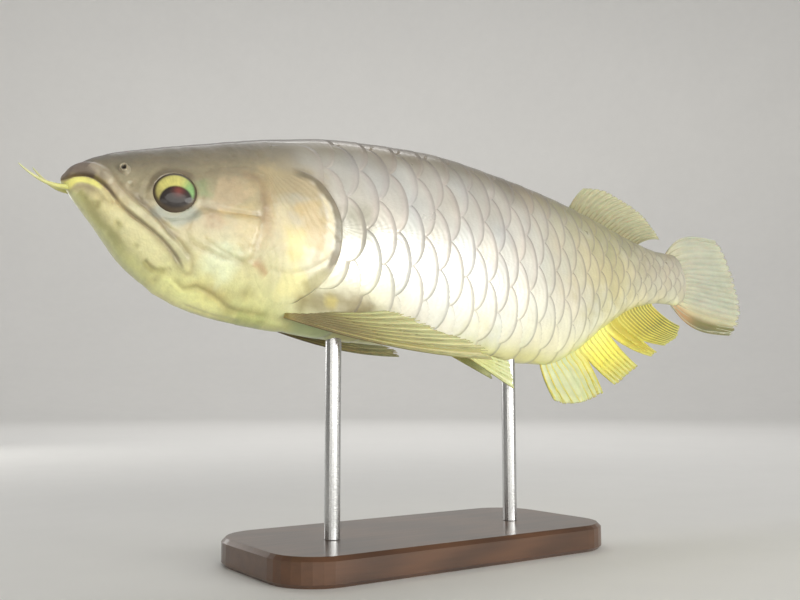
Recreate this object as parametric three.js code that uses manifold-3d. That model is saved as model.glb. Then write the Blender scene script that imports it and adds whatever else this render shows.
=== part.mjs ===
// Asian arowana, life size, gliding level with a slight bank, on a display stand.
// Millimetres, +Z up. The head points to -X and the left side faces -Y.
import * as THREE from "three";
import { mergeVertices } from "three/addons/utils/BufferGeometryUtils.js";
import Module from "manifold-3d";

const wasm = await Module();
wasm.setup();

// Driving dimensions. Body stations are in hundredths of the standard length, from the jaw tip.
const STANDARD_LENGTH = 420;
const PCT = STANDARD_LENGTH / 100;
const GAP = 0.3;
const FAR = 120;

// Height of the back and of the belly over the body's axis, and half the width.
const BACK = [[0, 5.4], [3, 7.1], [8, 8.3], [14, 9.4], [22, 11], [32, 12.5], [45, 13], [58, 11.8],
  [70, 10], [80, 7.8], [89, 5.7], [96, 4.8], [101, 4.9]];
const BELLY = [[0, 3.6], [2.5, 0], [6, -5], [10, -8.2], [15, -10.3], [21, -11.4], [30, -12.5], [42, -13.1],
  [54, -14.2], [61, -14.7], [66, -14.8], [72, -12.9], [80, -8.6], [89, -4.9], [96, -3.9], [101, -4.1]];
const HALF_WIDTH = [[0, 1], [3, 2.6], [7, 3.9], [12, 4.8], [18, 5.6], [26, 6.1], [36, 6.1], [48, 5.7],
  [60, 4.8], [72, 3.6], [84, 2.4], [93, 1.6], [101, 1.1]];
const BACK_ROUNDNESS = 0.7;
const BELLY_ROUNDNESS = 1.15;

// The spine's gentle curve, the bank about the axis and the height of the axis.
const HEAD_TURN = 0.28;
const HEAD_TURN_SPAN = [0, 30];
const TAIL_TURN = 0.095;
const TAIL_TURN_SPAN = [35, 110];
const MID_BODY = 45;
const BANK = THREE.MathUtils.degToRad(-5.65);
const AXIS_HEIGHT = 165;

// Where the body is parted.
const HEAD_END = 22.3;
const TRUNK_SPLIT = 46.5;
const STOCK_START = 77;
const TAIL_BASE = 100;

// Scales: how many along a row, rows round the body, and how far each one stands up.
const SCALES_PER_ROW = 22;
const SCALE_ROWS = 16;
const SCALE_LIFT = 0.95;
const SCALE_MIDDLE_LIFT = 0.5;
const SCALE_SIDE_LIFT = 0.95;
const SCALE_SIDE_FLOOR = 0.34;
const SCALE_SIDE_REACH = 0.78;
const SCALE_SIDE_PLACE = 0.64;
const SCALE_EDGE_SHARE = 0.45;
const SCALE_TAIL_LOSS = 0.35;
const SCALES_START = 20.4;
const SCALES_END = 103;
const SCALE_TAPER = 0.24;

// The mouth's slit, the jaw angle and the bone over it.
const GAPE = [[-1, 4.0], [0, 4.3], [1.3, 4.6], [2.8, 4.3], [4.2, 3.1], [5.4, 1.2], [8.2, -1.5], [9.8, -3],
  [11, -4.5], [11.8, -5.9]];
const JAW_BACK = [[12.6, -8.2], [13.4, -12]];
const MAXILLA = [[3.9, 4.6], [5, 3.9], [6.3, 1.7], [9.4, -0.9], [10.9, -2.5], [12.2, -4.9], [12.2, -6.2],
  [11.6, -5.6], [10.6, -4.1], [8.2, -1.5], [5.4, 1.2], [4.5, 2.8]];
const MAXILLA_LIFT = 1.1;

// Lips along both edges of the slit at the front of the mouth.
const UPPER_LIP = [[-1, 4.3], [0, 4.5], [1.3, 4.8], [2.8, 4.5], [4.1, 3.4], [5, 3.9], [4.2, 5.4],
  [2.6, 6.3], [0.8, 6.4], [-1, 6]];
const LOWER_LIP = [[-1, 4], [0, 4.3], [1.3, 4.6], [2.8, 4.3], [4.2, 3.1], [5.3, 1.5], [4.4, 1.3],
  [3.4, 2.3], [2.4, 3], [1.2, 3.1], [0, 2.7], [-1, 2.3]];
const LIP_LIFT = 0.7;

// The gill cover's outline, the plates of the cheek and the fold of skin under them.
const GILL_COVER = [[20.6, 6.1], [23.6, 6.6], [25.8, 5.8], [27.4, 4.2], [28.6, 2.1], [29.1, 0], [28.9, -2.8],
  [28.1, -5.2], [26.8, -6.9], [25, -8.4], [22.8, -9.6], [20.6, -9.3], [18.9, -7.3], [18.5, -5.4],
  [19.5, -3.8], [20, -1.6], [20.2, 1.6], [20.3, 4.2]];
const GILL_COVER_LIFT = 0.9;
const GILL_COVER_DEPTH = 1.8;
const HEAD_PLATES = [
  [[13.9, 4.3], [16.6, 4.9], [19.2, 4.6], [19.6, 2.4], [19.3, 0.4], [16.5, 0.5], [14.1, 1.1]],
  [[13.9, 0.6], [16.5, 0.1], [19.2, 0], [18.9, -2.6], [17.9, -4.8], [15.2, -4.2], [12.7, -3], [12.3, -1.4]],
  [[12.9, -7.4], [14.6, -8.1], [16.2, -9.4], [17.6, -10.1], [19.6, -10.3], [21.9, -10.6], [21.9, -16],
    [13.6, -16]],
];
const PLATE_LIFT = 0.5;

// Eye, nostril and barbel.
const EYE = { x: 10.8, z: 2.4, radius: 10.6, depth: 5.6, proud: 2.9, rimRadius: 9.9, rimWidth: 1.1 };
const NOSTRIL = { x: 6.1, z: 5.1, radius: 1.5, wall: 0.8, height: 1.4 };
const BARBEL = { x: 0.6, z: 3.6, y: 0.75, rootRadius: 1.4, tipRadius: 0.4 };
const BARBEL_REACH = { left: [-5.1, -0.9, 2.1], right: [-3.9, 1.2, 2.9] };

// Fins.
const MEDIAN_ROOT_DEPTH = 2.4;
const MEDIAN_CURL = 0.22;
const MEMBRANE_REACH = 0.975;
const ROOT_ROW = 0.06;
const SOCKET_COLUMNS = 8;
const RAY = { root: 1.5, tip: 0.8, membraneRoot: 0.9, membraneTip: 0.55, base: 3.2, baseFade: 0.07 };
const DORSAL = { from: 74.2, to: 90.6, rays: 18, lean: [[0, 56], [0.3, 42], [1, 27]],
  length: [[0, 6.2], [0.2, 9.4], [0.5, 10], [0.8, 9.2], [1, 7.6]] };
const ANAL = { from: 65.2, to: 92.6, rays: 23,
  lean: [[0, 78], [0.05, 62], [0.14, 47], [0.4, 37], [0.6, 36], [0.85, 37], [1, 33]],
  length: [[0, 5.7], [0.05, 7.5], [0.14, 9.4], [0.38, 11], [0.6, 11.5], [0.85, 11.2], [1, 9]] };
const ANAL_SLITS = [
  [[75.2, -13.4], [78.6, -18.8], [81.2, -17.4]],
  [[80.8, -9.6], [88.4, -14.8], [91.4, -12.9]],
  [[89.1, -10.3], [94.2, -12.7], [96.4, -11.1]],
];
const CAUDAL = { rays: 15, length: 21.6, halfHeight: 4.3, spread: 4.5, edgeShort: 0.74, roundness: 2.6,
  edgeCurve: 4, rootThickness: 7, rootFade: 0.12 };
const PECTORAL = { x: 23.3, z: -9.9, rays: 7, rootWidth: 1.6, longest: 27.2, shortest: 12, curl: 0.14 };
const PECTORAL_FIRST = { left: [25.2, -7.6, -9.4], right: [25.2, -7.4, -6] };
const PECTORAL_LAST = [12.5, -3.4, -2.4];
const PAIRED_ROOT_DEPTH = 2.2;
const PAIRED_MID = { along: 0.35, length: 0.82 };
const PELVIC = { x: 49.6, z: -13.1, rays: 5, rootWidth: 1.5, longest: 10, shortest: 7.4, curl: 0.03 };
const PELVIC_FIRST = { left: [8.6, -2.2, -6.4], right: [9, -1, -3.8] };
const PELVIC_LAST = [8, -1.3, -2.4];

// Stand.
const BASE = { length: 206, width: 96, thickness: 14, corner: 24, bevel: 2 };
const ROD = { stations: [31, 59], radius: 4, depthInBody: 7, clearance: 0.35, sides: 20 };

// A smooth rise from 0 to 1.
function ease(value) {
  const t = Math.min(Math.max(value, 0), 1);
  return t * t * (3 - 2 * t);
}

// A curve through the points that never overshoots them, as a function of the first coordinate.
function curveThrough(points) {
  const slopes = [];
  const steps = [];
  for (let i = 0; i + 1 < points.length; i++) {
    steps.push(points[i + 1][0] - points[i][0]);
    slopes.push((points[i + 1][1] - points[i][1]) / steps[i]);
  }
  const tangents = points.map((point, i) => {
    if (i === 0) return slopes[0];
    if (i === points.length - 1) return slopes[i - 1];
    if (slopes[i - 1] * slopes[i] <= 0) return 0;
    const before = 2 * steps[i] + steps[i - 1];
    const after = steps[i] + 2 * steps[i - 1];
    return (before + after) / (before / slopes[i - 1] + after / slopes[i]);
  });
  return (x) => {
    let i = 0;
    while (i + 2 < points.length && x > points[i + 1][0]) i++;
    const t = Math.min(Math.max((x - points[i][0]) / steps[i], 0), 1);
    const rise = points[i + 1][1] - points[i][1];
    const a = tangents[i] * steps[i];
    const b = tangents[i + 1] * steps[i];
    return points[i][1] + a * t + (3 * rise - 2 * a - b) * t * t + (a + b - 2 * rise) * t * t * t;
  };
}

const backLine = curveThrough(BACK);
const bellyLine = curveThrough(BELLY);
const halfWidth = curveThrough(HALF_WIDTH);

// Share of the way down the side, 0 at the back and 1 at the belly, for equal steps along the skin.
const sideStep = (() => {
  const samples = 200;
  const lengths = [0];
  for (let i = 1; i <= samples; i++) {
    const angle = (Math.PI * (i - 0.5)) / samples;
    lengths.push(lengths[i - 1] + Math.hypot(0.5 * Math.cos(angle), Math.sin(angle)));
  }
  return (share) => {
    const target = share * lengths[samples];
    let i = 1;
    while (i < samples && lengths[i] < target) i++;
    return (i - 1 + (target - lengths[i - 1]) / (lengths[i] - lengths[i - 1])) / samples;
  };
})();

// A point of the skin: station x, share down the side, side -1 for left or 1 for right, and growth outward.
function skinPoint(x, down, side, grow) {
  const angle = Math.PI * down;
  const middle = ((backLine(x) + bellyLine(x)) / 2) * PCT;
  const tall = ((backLine(x) - bellyLine(x)) / 2) * PCT;
  const wide = halfWidth(x) * PCT;
  const roundness = THREE.MathUtils.lerp(BACK_ROUNDNESS, BELLY_ROUNDNESS, down);
  const fullness = Math.max(Math.sin(angle), 0) ** roundness;
  const normal = new THREE.Vector2(Math.sin(angle) / wide, Math.cos(angle) / tall).normalize();
  return new THREE.Vector3(
    x * PCT,
    side * (wide * fullness + grow * normal.x),
    middle + tall * Math.cos(angle) + grow * normal.y,
  );
}

// Half the body's width at a station and a height, in millimetres.
function widthAt(x, z) {
  const top = backLine(x);
  const bottom = bellyLine(x);
  const cosine = Math.min(Math.max((2 * z - top - bottom) / (top - bottom), -1), 1);
  return skinPoint(x, Math.acos(cosine) / Math.PI, 1, 0).y;
}

// Closed geometry from vertices and polygons, each polygon split into a fan.
function geometryOf(vertices, polygons) {
  const geometry = new THREE.BufferGeometry();
  const flat = vertices.flatMap((v) => [v.x, v.y, v.z]);
  geometry.setAttribute("position", new THREE.Float32BufferAttribute(flat, 3));
  geometry.setIndex(polygons.flatMap((p) => p.slice(2).flatMap((corner, i) => [p[0], p[i + 1], corner])));
  return geometry;
}

// A solid for joins and cuts, turned right side out.
function solidFrom(geometry) {
  const bare = new THREE.BufferGeometry().setAttribute("position", geometry.getAttribute("position"));
  bare.setIndex(geometry.index);
  const merged = mergeVertices(bare, 1e-4);
  const triVerts = new Uint32Array(merged.index.array);
  const vertProperties = new Float32Array(merged.getAttribute("position").array);
  const solid = new wasm.Manifold(new wasm.Mesh({ numProp: 3, vertProperties, triVerts }));
  if (solid.volume() > 0) return solid;
  for (let i = 0; i < triVerts.length; i += 3) triVerts.subarray(i, i + 2).reverse();
  return new wasm.Manifold(new wasm.Mesh({ numProp: 3, vertProperties, triVerts }));
}

// Back from a solid to a geometry, keeping its largest closed surface.
function geometryFrom(solid) {
  const bodies = solid.decompose().sort((a, b) => b.volume() - a.volume());
  const mesh = bodies[0].getMesh();
  const geometry = new THREE.BufferGeometry();
  const positions = new Float32Array(mesh.numVert * 3);
  for (let i = 0; i < mesh.numVert; i++) {
    positions.set(mesh.vertProperties.subarray(i * mesh.numProp, i * mesh.numProp + 3), i * 3);
  }
  geometry.setAttribute("position", new THREE.BufferAttribute(positions, 3));
  geometry.setIndex(new THREE.BufferAttribute(new Uint32Array(mesh.triVerts), 1));
  return geometry;
}

// A smooth length of the body, closed by a fan at each end.
function smoothBody(from, to, grow, columns, ring) {
  const vertices = [];
  const polygons = [];
  for (let c = 0; c <= columns; c++) {
    const x = THREE.MathUtils.lerp(from, to, c / columns);
    for (let r = 0; r < ring; r++) {
      const share = (2 * r) / ring;
      const side = share < 1 ? -1 : 1;
      vertices.push(skinPoint(x, sideStep(share < 1 ? share : 2 - share), side, grow));
    }
  }
  for (let c = 0; c < columns; c++) {
    for (let r = 0; r < ring; r++) {
      const next = (r + 1) % ring;
      polygons.push([c * ring + r, c * ring + next, (c + 1) * ring + next, (c + 1) * ring + r]);
    }
  }
  const front = vertices.push(endCentre(from, -0.5 - grow / PCT)) - 1;
  const rear = vertices.push(endCentre(to, 0)) - 1;
  for (let r = 0; r < ring; r++) {
    const next = (r + 1) % ring;
    polygons.push([front, next, r]);
    polygons.push([rear, columns * ring + r, columns * ring + next]);
  }
  return solidFrom(geometryOf(vertices, polygons));
}

function endCentre(x, offset) {
  return new THREE.Vector3((x + offset) * PCT, 0, ((backLine(x) + bellyLine(x)) / 2) * PCT);
}

// The scaled length of the body: each scale is a raised plate whose arc lies over those behind it.
function scaledBody() {
  const vertices = [];
  const polygons = [];
  const known = new Map();
  const columns = 2 * SCALES_PER_ROW;
  const reach = SCALE_SIDE_REACH;
  const aside = SCALE_SIDE_PLACE;
  function corner(u, v, lift) {
    const row = (v + SCALE_ROWS) % SCALE_ROWS;
    const key = [u.toFixed(3), row.toFixed(3), lift].join();
    if (!known.has(key)) {
      const t = u / columns;
      const x = THREE.MathUtils.lerp(SCALES_START, SCALES_END, t + SCALE_TAPER * t * (1 - t));
      const share = (2 * row) / SCALE_ROWS;
      const side = share < 1 ? -1 : 1;
      const down = sideStep(share < 1 ? share : 2 - share);
      const height = lift * THREE.MathUtils.lerp(SCALE_EDGE_SHARE, 1, Math.sin(Math.PI * down));
      known.set(key, vertices.push(skinPoint(x, down, side, height * (1 - SCALE_TAIL_LOSS * t))) - 1);
    }
    return known.get(key);
  }
  const frontEdge = [];
  const rearEdge = [];
  for (let u = 0; u < columns; u++) {
    for (let v = u % 2; v < SCALE_ROWS; v += 2) {
      const tip = corner(u + 1, v, SCALE_LIFT);
      const middle = corner(u, v, SCALE_MIDDLE_LIFT);
      const rim = [
        tip,
        corner(u + reach, v + aside, SCALE_SIDE_LIFT),
        corner(u, v + 1, 0),
        corner(u + reach - 1, v + 1 - aside, SCALE_SIDE_FLOOR),
        corner(u - 1, v, 0),
        corner(u + reach - 1, v - 1 + aside, SCALE_SIDE_FLOOR),
        corner(u, v - 1, 0),
        corner(u + reach, v - aside, SCALE_SIDE_LIFT),
      ];
      rim.forEach((point, i) => polygons.push([middle, point, rim[(i + 1) % rim.length]]));
      const below = [
        corner(u + reach, v + aside, SCALE_SIDE_FLOOR),
        corner(u + 1, v, 0),
        corner(u + reach, v - aside, SCALE_SIDE_FLOOR),
      ];
      polygons.push([rim[1], tip, below[1], below[0]]);
      polygons.push([rim[2], rim[1], below[0]]);
      polygons.push([tip, rim[7], below[2], below[1]]);
      polygons.push([rim[7], rim[6], below[2]]);
      if (u === 0) frontEdge.push(rim[6], rim[5], rim[4], rim[3]);
      if (u === columns - 1) rearEdge.push(rim[6], below[2], below[1], below[0]);
    }
  }
  const front = vertices.push(endCentre(SCALES_START, -1)) - 1;
  const rear = vertices.push(endCentre(SCALES_END, 1)) - 1;
  frontEdge.forEach((point, i) => polygons.push([front, point, frontEdge[(i + 1) % frontEdge.length]]));
  rearEdge.forEach((point, i) => polygons.push([rear, rearEdge[(i + 1) % rearEdge.length], point]));
  return solidFrom(geometryOf(vertices, polygons));
}

// A cutter with its outline in the side view, from one width to another, in millimetres.
// A rounded outline has this many straight pieces between its points, and 0 keeps it straight.
function sidePrism(outline, from, to, pieces) {
  const points = outline.map(([x, z]) => new THREE.Vector2(x * PCT, z * PCT));
  const shape = new THREE.Shape();
  if (pieces > 0) {
    const loop = new THREE.SplineCurve([...points, points[0]]);
    shape.setFromPoints(loop.getPoints(points.length * pieces));
  } else {
    shape.setFromPoints(points);
  }
  const geometry = new THREE.ExtrudeGeometry(shape, { depth: to - from, bevelEnabled: false });
  geometry.rotateX(Math.PI / 2);
  geometry.translate(0, to, 0);
  return solidFrom(geometry);
}

// A plate with its outline in the side view that stands a little over the skin of both sides.
function raisedPlate(outline, from, to, lift) {
  return smoothBody(from, to, lift, 7, 20).intersect(sidePrism(outline, -FAR, FAR, 0));
}

// The outline moved outward by a distance in hundredths.
function grownOutline(outline, distance) {
  const area = THREE.ShapeUtils.area(outline.map(([x, y]) => ({ x, y })));
  const turn = area > 0 ? 1 : -1;
  return outline.map((point, i) => {
    const before = outline[(i + outline.length - 1) % outline.length];
    const after = outline[(i + 1) % outline.length];
    const along = new THREE.Vector2(after[0] - before[0], after[1] - before[1]).normalize();
    return [point[0] + turn * along.y * distance, point[1] - turn * along.x * distance];
  });
}

function slab(from, to) {
  const geometry = new THREE.BoxGeometry((to - from) * PCT, 400, 400);
  geometry.translate(((from + to) / 2) * PCT, 0, 0);
  return solidFrom(geometry);
}

// A round bar that tapers along a curve, with a rounded tip.
function taperedBar(curve, rootRadius, tipRadius, lengths, sides) {
  const frames = curve.computeFrenetFrames(lengths, false);
  const vertices = [];
  const polygons = [];
  for (let i = 0; i <= lengths; i++) {
    const centre = curve.getPointAt(i / lengths);
    const radius = THREE.MathUtils.lerp(rootRadius, tipRadius, i / lengths);
    for (let k = 0; k < sides; k++) {
      const angle = (2 * Math.PI * k) / sides;
      vertices.push(
        centre
          .clone()
          .addScaledVector(frames.normals[i], radius * Math.cos(angle))
          .addScaledVector(frames.binormals[i], radius * Math.sin(angle)),
      );
    }
  }
  for (let i = 0; i < lengths; i++) {
    for (let k = 0; k < sides; k++) {
      const next = (k + 1) % sides;
      polygons.push([i * sides + k, i * sides + next, (i + 1) * sides + next, (i + 1) * sides + k]);
    }
  }
  const root = vertices.push(curve.getPointAt(0)) - 1;
  const tipPoint = curve.getPointAt(1).addScaledVector(curve.getTangentAt(1), tipRadius);
  const tip = vertices.push(tipPoint) - 1;
  for (let k = 0; k < sides; k++) {
    const next = (k + 1) % sides;
    polygons.push([root, next, k]);
    polygons.push([tip, lengths * sides + k, lengths * sides + next]);
  }
  return solidFrom(geometryOf(vertices, polygons));
}

// A fin: rays as ridges on a membrane. surface(s, t) gives its middle, with s along the root and t outward.
function finSolid(surface, rays, rows, thickness, clearance) {
  const columns = 2 * (rays - 1);
  const vertices = [];
  const polygons = [];
  const across = rows.length;
  for (const face of [1, -1]) {
    for (let c = 0; c <= columns; c++) {
      const s = c / columns;
      for (const t of rows) {
        const reach = c % 2 === 0 ? t : t * MEMBRANE_REACH;
        const half = thickness(c % 2 === 0, t) / 2 + clearance;
        const at = surface(s, reach);
        const step = 1e-3;
        const alongRoot = surface(Math.min(s + step, 1), reach).sub(surface(Math.max(s - step, 0), reach));
        const outward = surface(s, reach + step).sub(surface(s, reach - step));
        const normal = alongRoot.clone().cross(outward).normalize();
        if (c === 0) at.addScaledVector(alongRoot.normalize(), -clearance);
        if (c === columns) at.addScaledVector(alongRoot.normalize(), clearance);
        if (t === rows[0]) at.addScaledVector(outward.normalize(), -clearance);
        vertices.push(at.addScaledVector(normal, face * half));
      }
    }
  }
  const count = (columns + 1) * across;
  for (let c = 0; c < columns; c++) {
    for (let r = 0; r + 1 < across; r++) {
      const a = c * across + r;
      const b = a + across;
      const corners = c % 2 === 0 ? [[a, b, b + 1], [a, b + 1, a + 1]] : [[a, b, a + 1], [b, b + 1, a + 1]];
      for (const [i, j, k] of corners) {
        polygons.push([i, j, k]);
        polygons.push([k + count, j + count, i + count]);
      }
    }
  }
  const loop = [];
  for (let c = 0; c <= columns; c++) loop.push(c * across);
  for (let r = 1; r < across; r++) loop.push(columns * across + r);
  for (let c = columns - 1; c >= 0; c--) loop.push(c * across + across - 1);
  for (let r = across - 2; r > 0; r--) loop.push(r);
  loop.forEach((point, i) => {
    const next = loop[(i + 1) % loop.length];
    polygons.push([point, point + count, next + count, next]);
  });
  return solidFrom(geometryOf(vertices, polygons));
}

// Thickness of a median fin: a fleshy base that fades into rays and membrane.
function finThickness(isRay, t) {
  const thin = isRay
    ? THREE.MathUtils.lerp(RAY.root, RAY.tip, t)
    : THREE.MathUtils.lerp(RAY.membraneRoot, RAY.membraneTip, t);
  return thin + (RAY.base - RAY.root) * Math.exp(-Math.max(t, 0) / RAY.baseFade);
}

// The middle of a dorsal or anal fin; up is 1 for the back and -1 for the belly.
function medianSurface(fin, line, up) {
  const lean = curveThrough(fin.lean);
  const length = curveThrough(fin.length);
  return (s, t) => {
    const x = THREE.MathUtils.lerp(fin.from, fin.to, s);
    const angle = THREE.MathUtils.degToRad(lean(s));
    const curl = angle - MEDIAN_CURL * t;
    const reach = length(s) * PCT * t;
    return new THREE.Vector3(
      x * PCT + reach * Math.cos(curl),
      0,
      line(x) * PCT + up * (reach * Math.sin(curl) - MEDIAN_ROOT_DEPTH * Math.max(1 - t / ROOT_ROW, 0)),
    );
  };
}

// A socket is as thick as the rays all along its root.
function socketThickness(isRay, t) {
  return finThickness(true, t);
}

// The tail fin's outer rays turn outward near the root, and its hind edge is round.
function caudalSurface(s, t) {
  const height = THREE.MathUtils.lerp(1, -1, s);
  const shortening = THREE.MathUtils.lerp(1, CAUDAL.edgeShort, Math.abs(height) ** CAUDAL.roundness);
  const curved = 1 - Math.max(1 - t, 0) ** CAUDAL.edgeCurve;
  const spread = CAUDAL.spread * THREE.MathUtils.lerp(t, curved, height * height);
  const middle = (backLine(TAIL_BASE) + bellyLine(TAIL_BASE)) / 2;
  return new THREE.Vector3(
    (TAIL_BASE + CAUDAL.length * shortening * t) * PCT + GAP,
    0,
    (middle + (CAUDAL.halfHeight + spread) * height) * PCT,
  );
}

function caudalThickness(isRay, t) {
  return finThickness(isRay, t) + (CAUDAL.rootThickness - RAY.base) * Math.exp(-t / CAUDAL.rootFade);
}

// A paired fin: its root line, the directions of its first and last ray, and an upward curl along each ray.
function pairedSurface(fin, root, rootWidth, first, last, side) {
  const lengths = curveThrough([
    [0, fin.longest * PCT],
    [PAIRED_MID.along, fin.longest * PAIRED_MID.length * PCT],
    [1, fin.shortest * PCT],
  ]);
  return (s, t) => {
    const direction = first.clone().lerp(last, s ** 0.8).normalize();
    const reach = lengths(s) * t;
    const at = root.clone().addScaledVector(rootWidth, s - 0.5).addScaledVector(direction, reach);
    at.z += fin.curl * t * t * lengths(s);
    at.y *= -side;
    return at;
  };
}

function pectoralSurface({ name, sign }) {
  const inside = -widthAt(PECTORAL.x, PECTORAL.z) + PAIRED_ROOT_DEPTH;
  const root = new THREE.Vector3(PECTORAL.x * PCT, inside, PECTORAL.z * PCT);
  const width = new THREE.Vector3(0.5, 0.55, 1).normalize().multiplyScalar(PECTORAL.rootWidth * PCT);
  const first = new THREE.Vector3(...PECTORAL_FIRST[name]).normalize();
  const last = new THREE.Vector3(...PECTORAL_LAST).normalize();
  return pairedSurface(PECTORAL, root, width, first, last, sign);
}

function pelvicSurface({ name, sign }) {
  const inside = -widthAt(PELVIC.x, PELVIC.z) + PAIRED_ROOT_DEPTH;
  const root = new THREE.Vector3(PELVIC.x * PCT, inside, PELVIC.z * PCT);
  const width = new THREE.Vector3(1, 0.3, 0.1).normalize().multiplyScalar(PELVIC.rootWidth * PCT);
  const first = new THREE.Vector3(...PELVIC_FIRST[name]).normalize();
  const last = new THREE.Vector3(...PELVIC_LAST).normalize();
  return pairedSurface(PELVIC, root, width, first, last, sign);
}

// The eyeball, turned to the head's own slope; grow widens it for the socket.
function eyeball(side, grow) {
  const geometry = new THREE.SphereGeometry(1, 16, 8);
  geometry.rotateX(Math.PI / 2);
  geometry.scale(EYE.radius + grow, EYE.depth + grow, EYE.radius + grow);
  place(geometry, side, EYE.x, EYE.z, EYE.proud - EYE.depth);
  return solidFrom(geometry);
}

// Moves a geometry made with its outward axis along -Y to a place on the head's side.
function place(geometry, side, x, z, outward) {
  const step = 2;
  const slopeX = (widthAt(x + step, z) - widthAt(x - step, z)) / (2 * step * PCT);
  const slopeZ = (widthAt(x, z + step) - widthAt(x, z - step)) / (2 * step * PCT);
  geometry.rotateZ(-Math.atan(slopeX));
  geometry.rotateX(Math.atan(slopeZ));
  const offset = new THREE.Vector3(-slopeX, -1, -slopeZ).normalize().multiplyScalar(outward);
  geometry.translate(x * PCT + offset.x, -widthAt(x, z) + offset.y, z * PCT + offset.z);
  if (side > 0) geometry.scale(1, -1, 1);
}

// A low ring round the socket.
function eyeRim(side) {
  const geometry = new THREE.TorusGeometry(EYE.rimRadius, EYE.rimWidth, 4, 16);
  geometry.rotateX(Math.PI / 2);
  place(geometry, side, EYE.x, EYE.z, 0);
  return solidFrom(geometry);
}

// The front nostril's short tube and the pit in it.
function nostrilTube(side, radius, height, sink) {
  const geometry = new THREE.CylinderGeometry(radius, radius * 1.15, height + sink, 8);
  place(geometry.rotateX(Math.PI / 2), side, NOSTRIL.x, NOSTRIL.z, (height - sink) / 2);
  return solidFrom(geometry);
}

// A barbel runs forward and up from the tip of the lower jaw, sunk into it at the root.
function barbelBar({ name, sign }, grow) {
  const root = new THREE.Vector3(BARBEL.x, sign * BARBEL.y, BARBEL.z).multiplyScalar(PCT);
  const span = new THREE.Vector3(...BARBEL_REACH[name]).multiplyScalar(PCT);
  const forward = span.clone().normalize();
  const reach = span.length();
  const curve = new THREE.CatmullRomCurve3([
    root.clone().addScaledVector(forward, -1.5 - grow),
    root.clone().addScaledVector(forward, reach * 0.35).add(new THREE.Vector3(0, 0, -0.5)),
    root.clone().addScaledVector(forward, reach * 0.7),
    root.clone().addScaledVector(forward, reach).add(new THREE.Vector3(-0.3, 0, 1.2)),
  ]);
  return taperedBar(curve, BARBEL.rootRadius + grow, BARBEL.tipRadius + grow, 7, 8);
}

// The spine's heading at a station, and the middle line found by adding it up.
function heading(x) {
  const head = ease((HEAD_TURN_SPAN[1] - x) / (HEAD_TURN_SPAN[1] - HEAD_TURN_SPAN[0]));
  const tail = ease((x - TAIL_TURN_SPAN[0]) / (TAIL_TURN_SPAN[1] - TAIL_TURN_SPAN[0]));
  return -HEAD_TURN * head + TAIL_TURN * tail;
}
const spine = (() => {
  const from = -10;
  const to = 130;
  const perUnit = 4;
  const points = [new THREE.Vector2(0, 0)];
  for (let i = 1; i <= (to - from) * perUnit; i++) {
    const angle = heading(from + (i - 0.5) / perUnit);
    const last = points[i - 1];
    points.push(new THREE.Vector2(last.x + Math.cos(angle) / perUnit, last.y + Math.sin(angle) / perUnit));
  }
  const middle = points[(MID_BODY - from) * perUnit].clone();
  points.forEach((point) => point.sub(middle).multiplyScalar(PCT));
  return (x) => {
    const along = (x - from) * perUnit;
    const i = Math.min(Math.max(Math.floor(along), 0), points.length - 2);
    return points[i].clone().lerp(points[i + 1], along - i);
  };
})();

// From the straight body to the posed one.
function posed(point) {
  const x = point.x / PCT;
  const centre = spine(x);
  const angle = heading(x);
  const bent = new THREE.Vector3(
    centre.x - point.y * Math.sin(angle),
    centre.y + point.y * Math.cos(angle),
    point.z,
  );
  bent.applyAxisAngle(new THREE.Vector3(1, 0, 0), BANK);
  bent.z += AXIS_HEIGHT;
  return bent;
}

function posedGeometry(geometry) {
  const positions = geometry.getAttribute("position");
  for (let i = 0; i < positions.count; i++) {
    const point = posed(new THREE.Vector3().fromBufferAttribute(positions, i));
    positions.setXYZ(i, point.x, point.y, point.z);
  }
  return geometry;
}

// Rods stand upright under the belly and run a little way into it.
const rods = ROD.stations.map((station) => {
  const belly = posed(new THREE.Vector3(station * PCT, 0, bellyLine(station) * PCT));
  return { x: belly.x, y: belly.y, top: belly.z + ROD.depthInBody };
});

function rodSolid(rod, radius, from, to, sides) {
  const geometry = new THREE.CylinderGeometry(radius, radius, to - from, sides);
  geometry.rotateX(Math.PI / 2);
  geometry.translate(rod.x, rod.y, (from + to) / 2);
  return solidFrom(geometry);
}

// Base: a flat slab with round corners and a narrow bevel.
function baseSolid() {
  const halfLength = BASE.length / 2 - BASE.bevel;
  const halfWide = BASE.width / 2 - BASE.bevel;
  const corner = BASE.corner;
  const shape = new THREE.Shape();
  shape.moveTo(-halfLength + corner, -halfWide);
  shape.lineTo(halfLength - corner, -halfWide);
  shape.absarc(halfLength - corner, -halfWide + corner, corner, -Math.PI / 2, 0);
  shape.absarc(halfLength - corner, halfWide - corner, corner, 0, Math.PI / 2);
  shape.absarc(-halfLength + corner, halfWide - corner, corner, Math.PI / 2, Math.PI);
  shape.absarc(-halfLength + corner, -halfWide + corner, corner, Math.PI, 1.5 * Math.PI);
  const geometry = new THREE.ExtrudeGeometry(shape, {
    depth: BASE.thickness - 2 * BASE.bevel,
    bevelThickness: BASE.bevel,
    bevelSize: BASE.bevel,
    bevelSegments: 1,
    curveSegments: 4,
  });
  geometry.translate(0, 0, BASE.bevel);
  return solidFrom(geometry);
}

const COLOURS = {
  head: 0xc9b277,
  lower_jaw: 0xc8c070,
  gill_cover: 0xe0b878,
  eye: 0x2a2418,
  barbel: 0xb9ad5e,
  trunk: 0xcfc9b2,
  fin: 0xd9cf4a,
  stand_wood: 0x3a2a20,
  stand_metal: 0xb8bcc0,
};

const model = new THREE.Group();
model.name = "asian_arowana";

function addNode(name, geometry, colour, roughness = 0.4, metalness = 0) {
  const material = new THREE.MeshStandardMaterial({ color: COLOURS[colour], roughness, metalness });
  const mesh = new THREE.Mesh(geometry, material);
  mesh.name = name;
  model.add(mesh);
}

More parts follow.
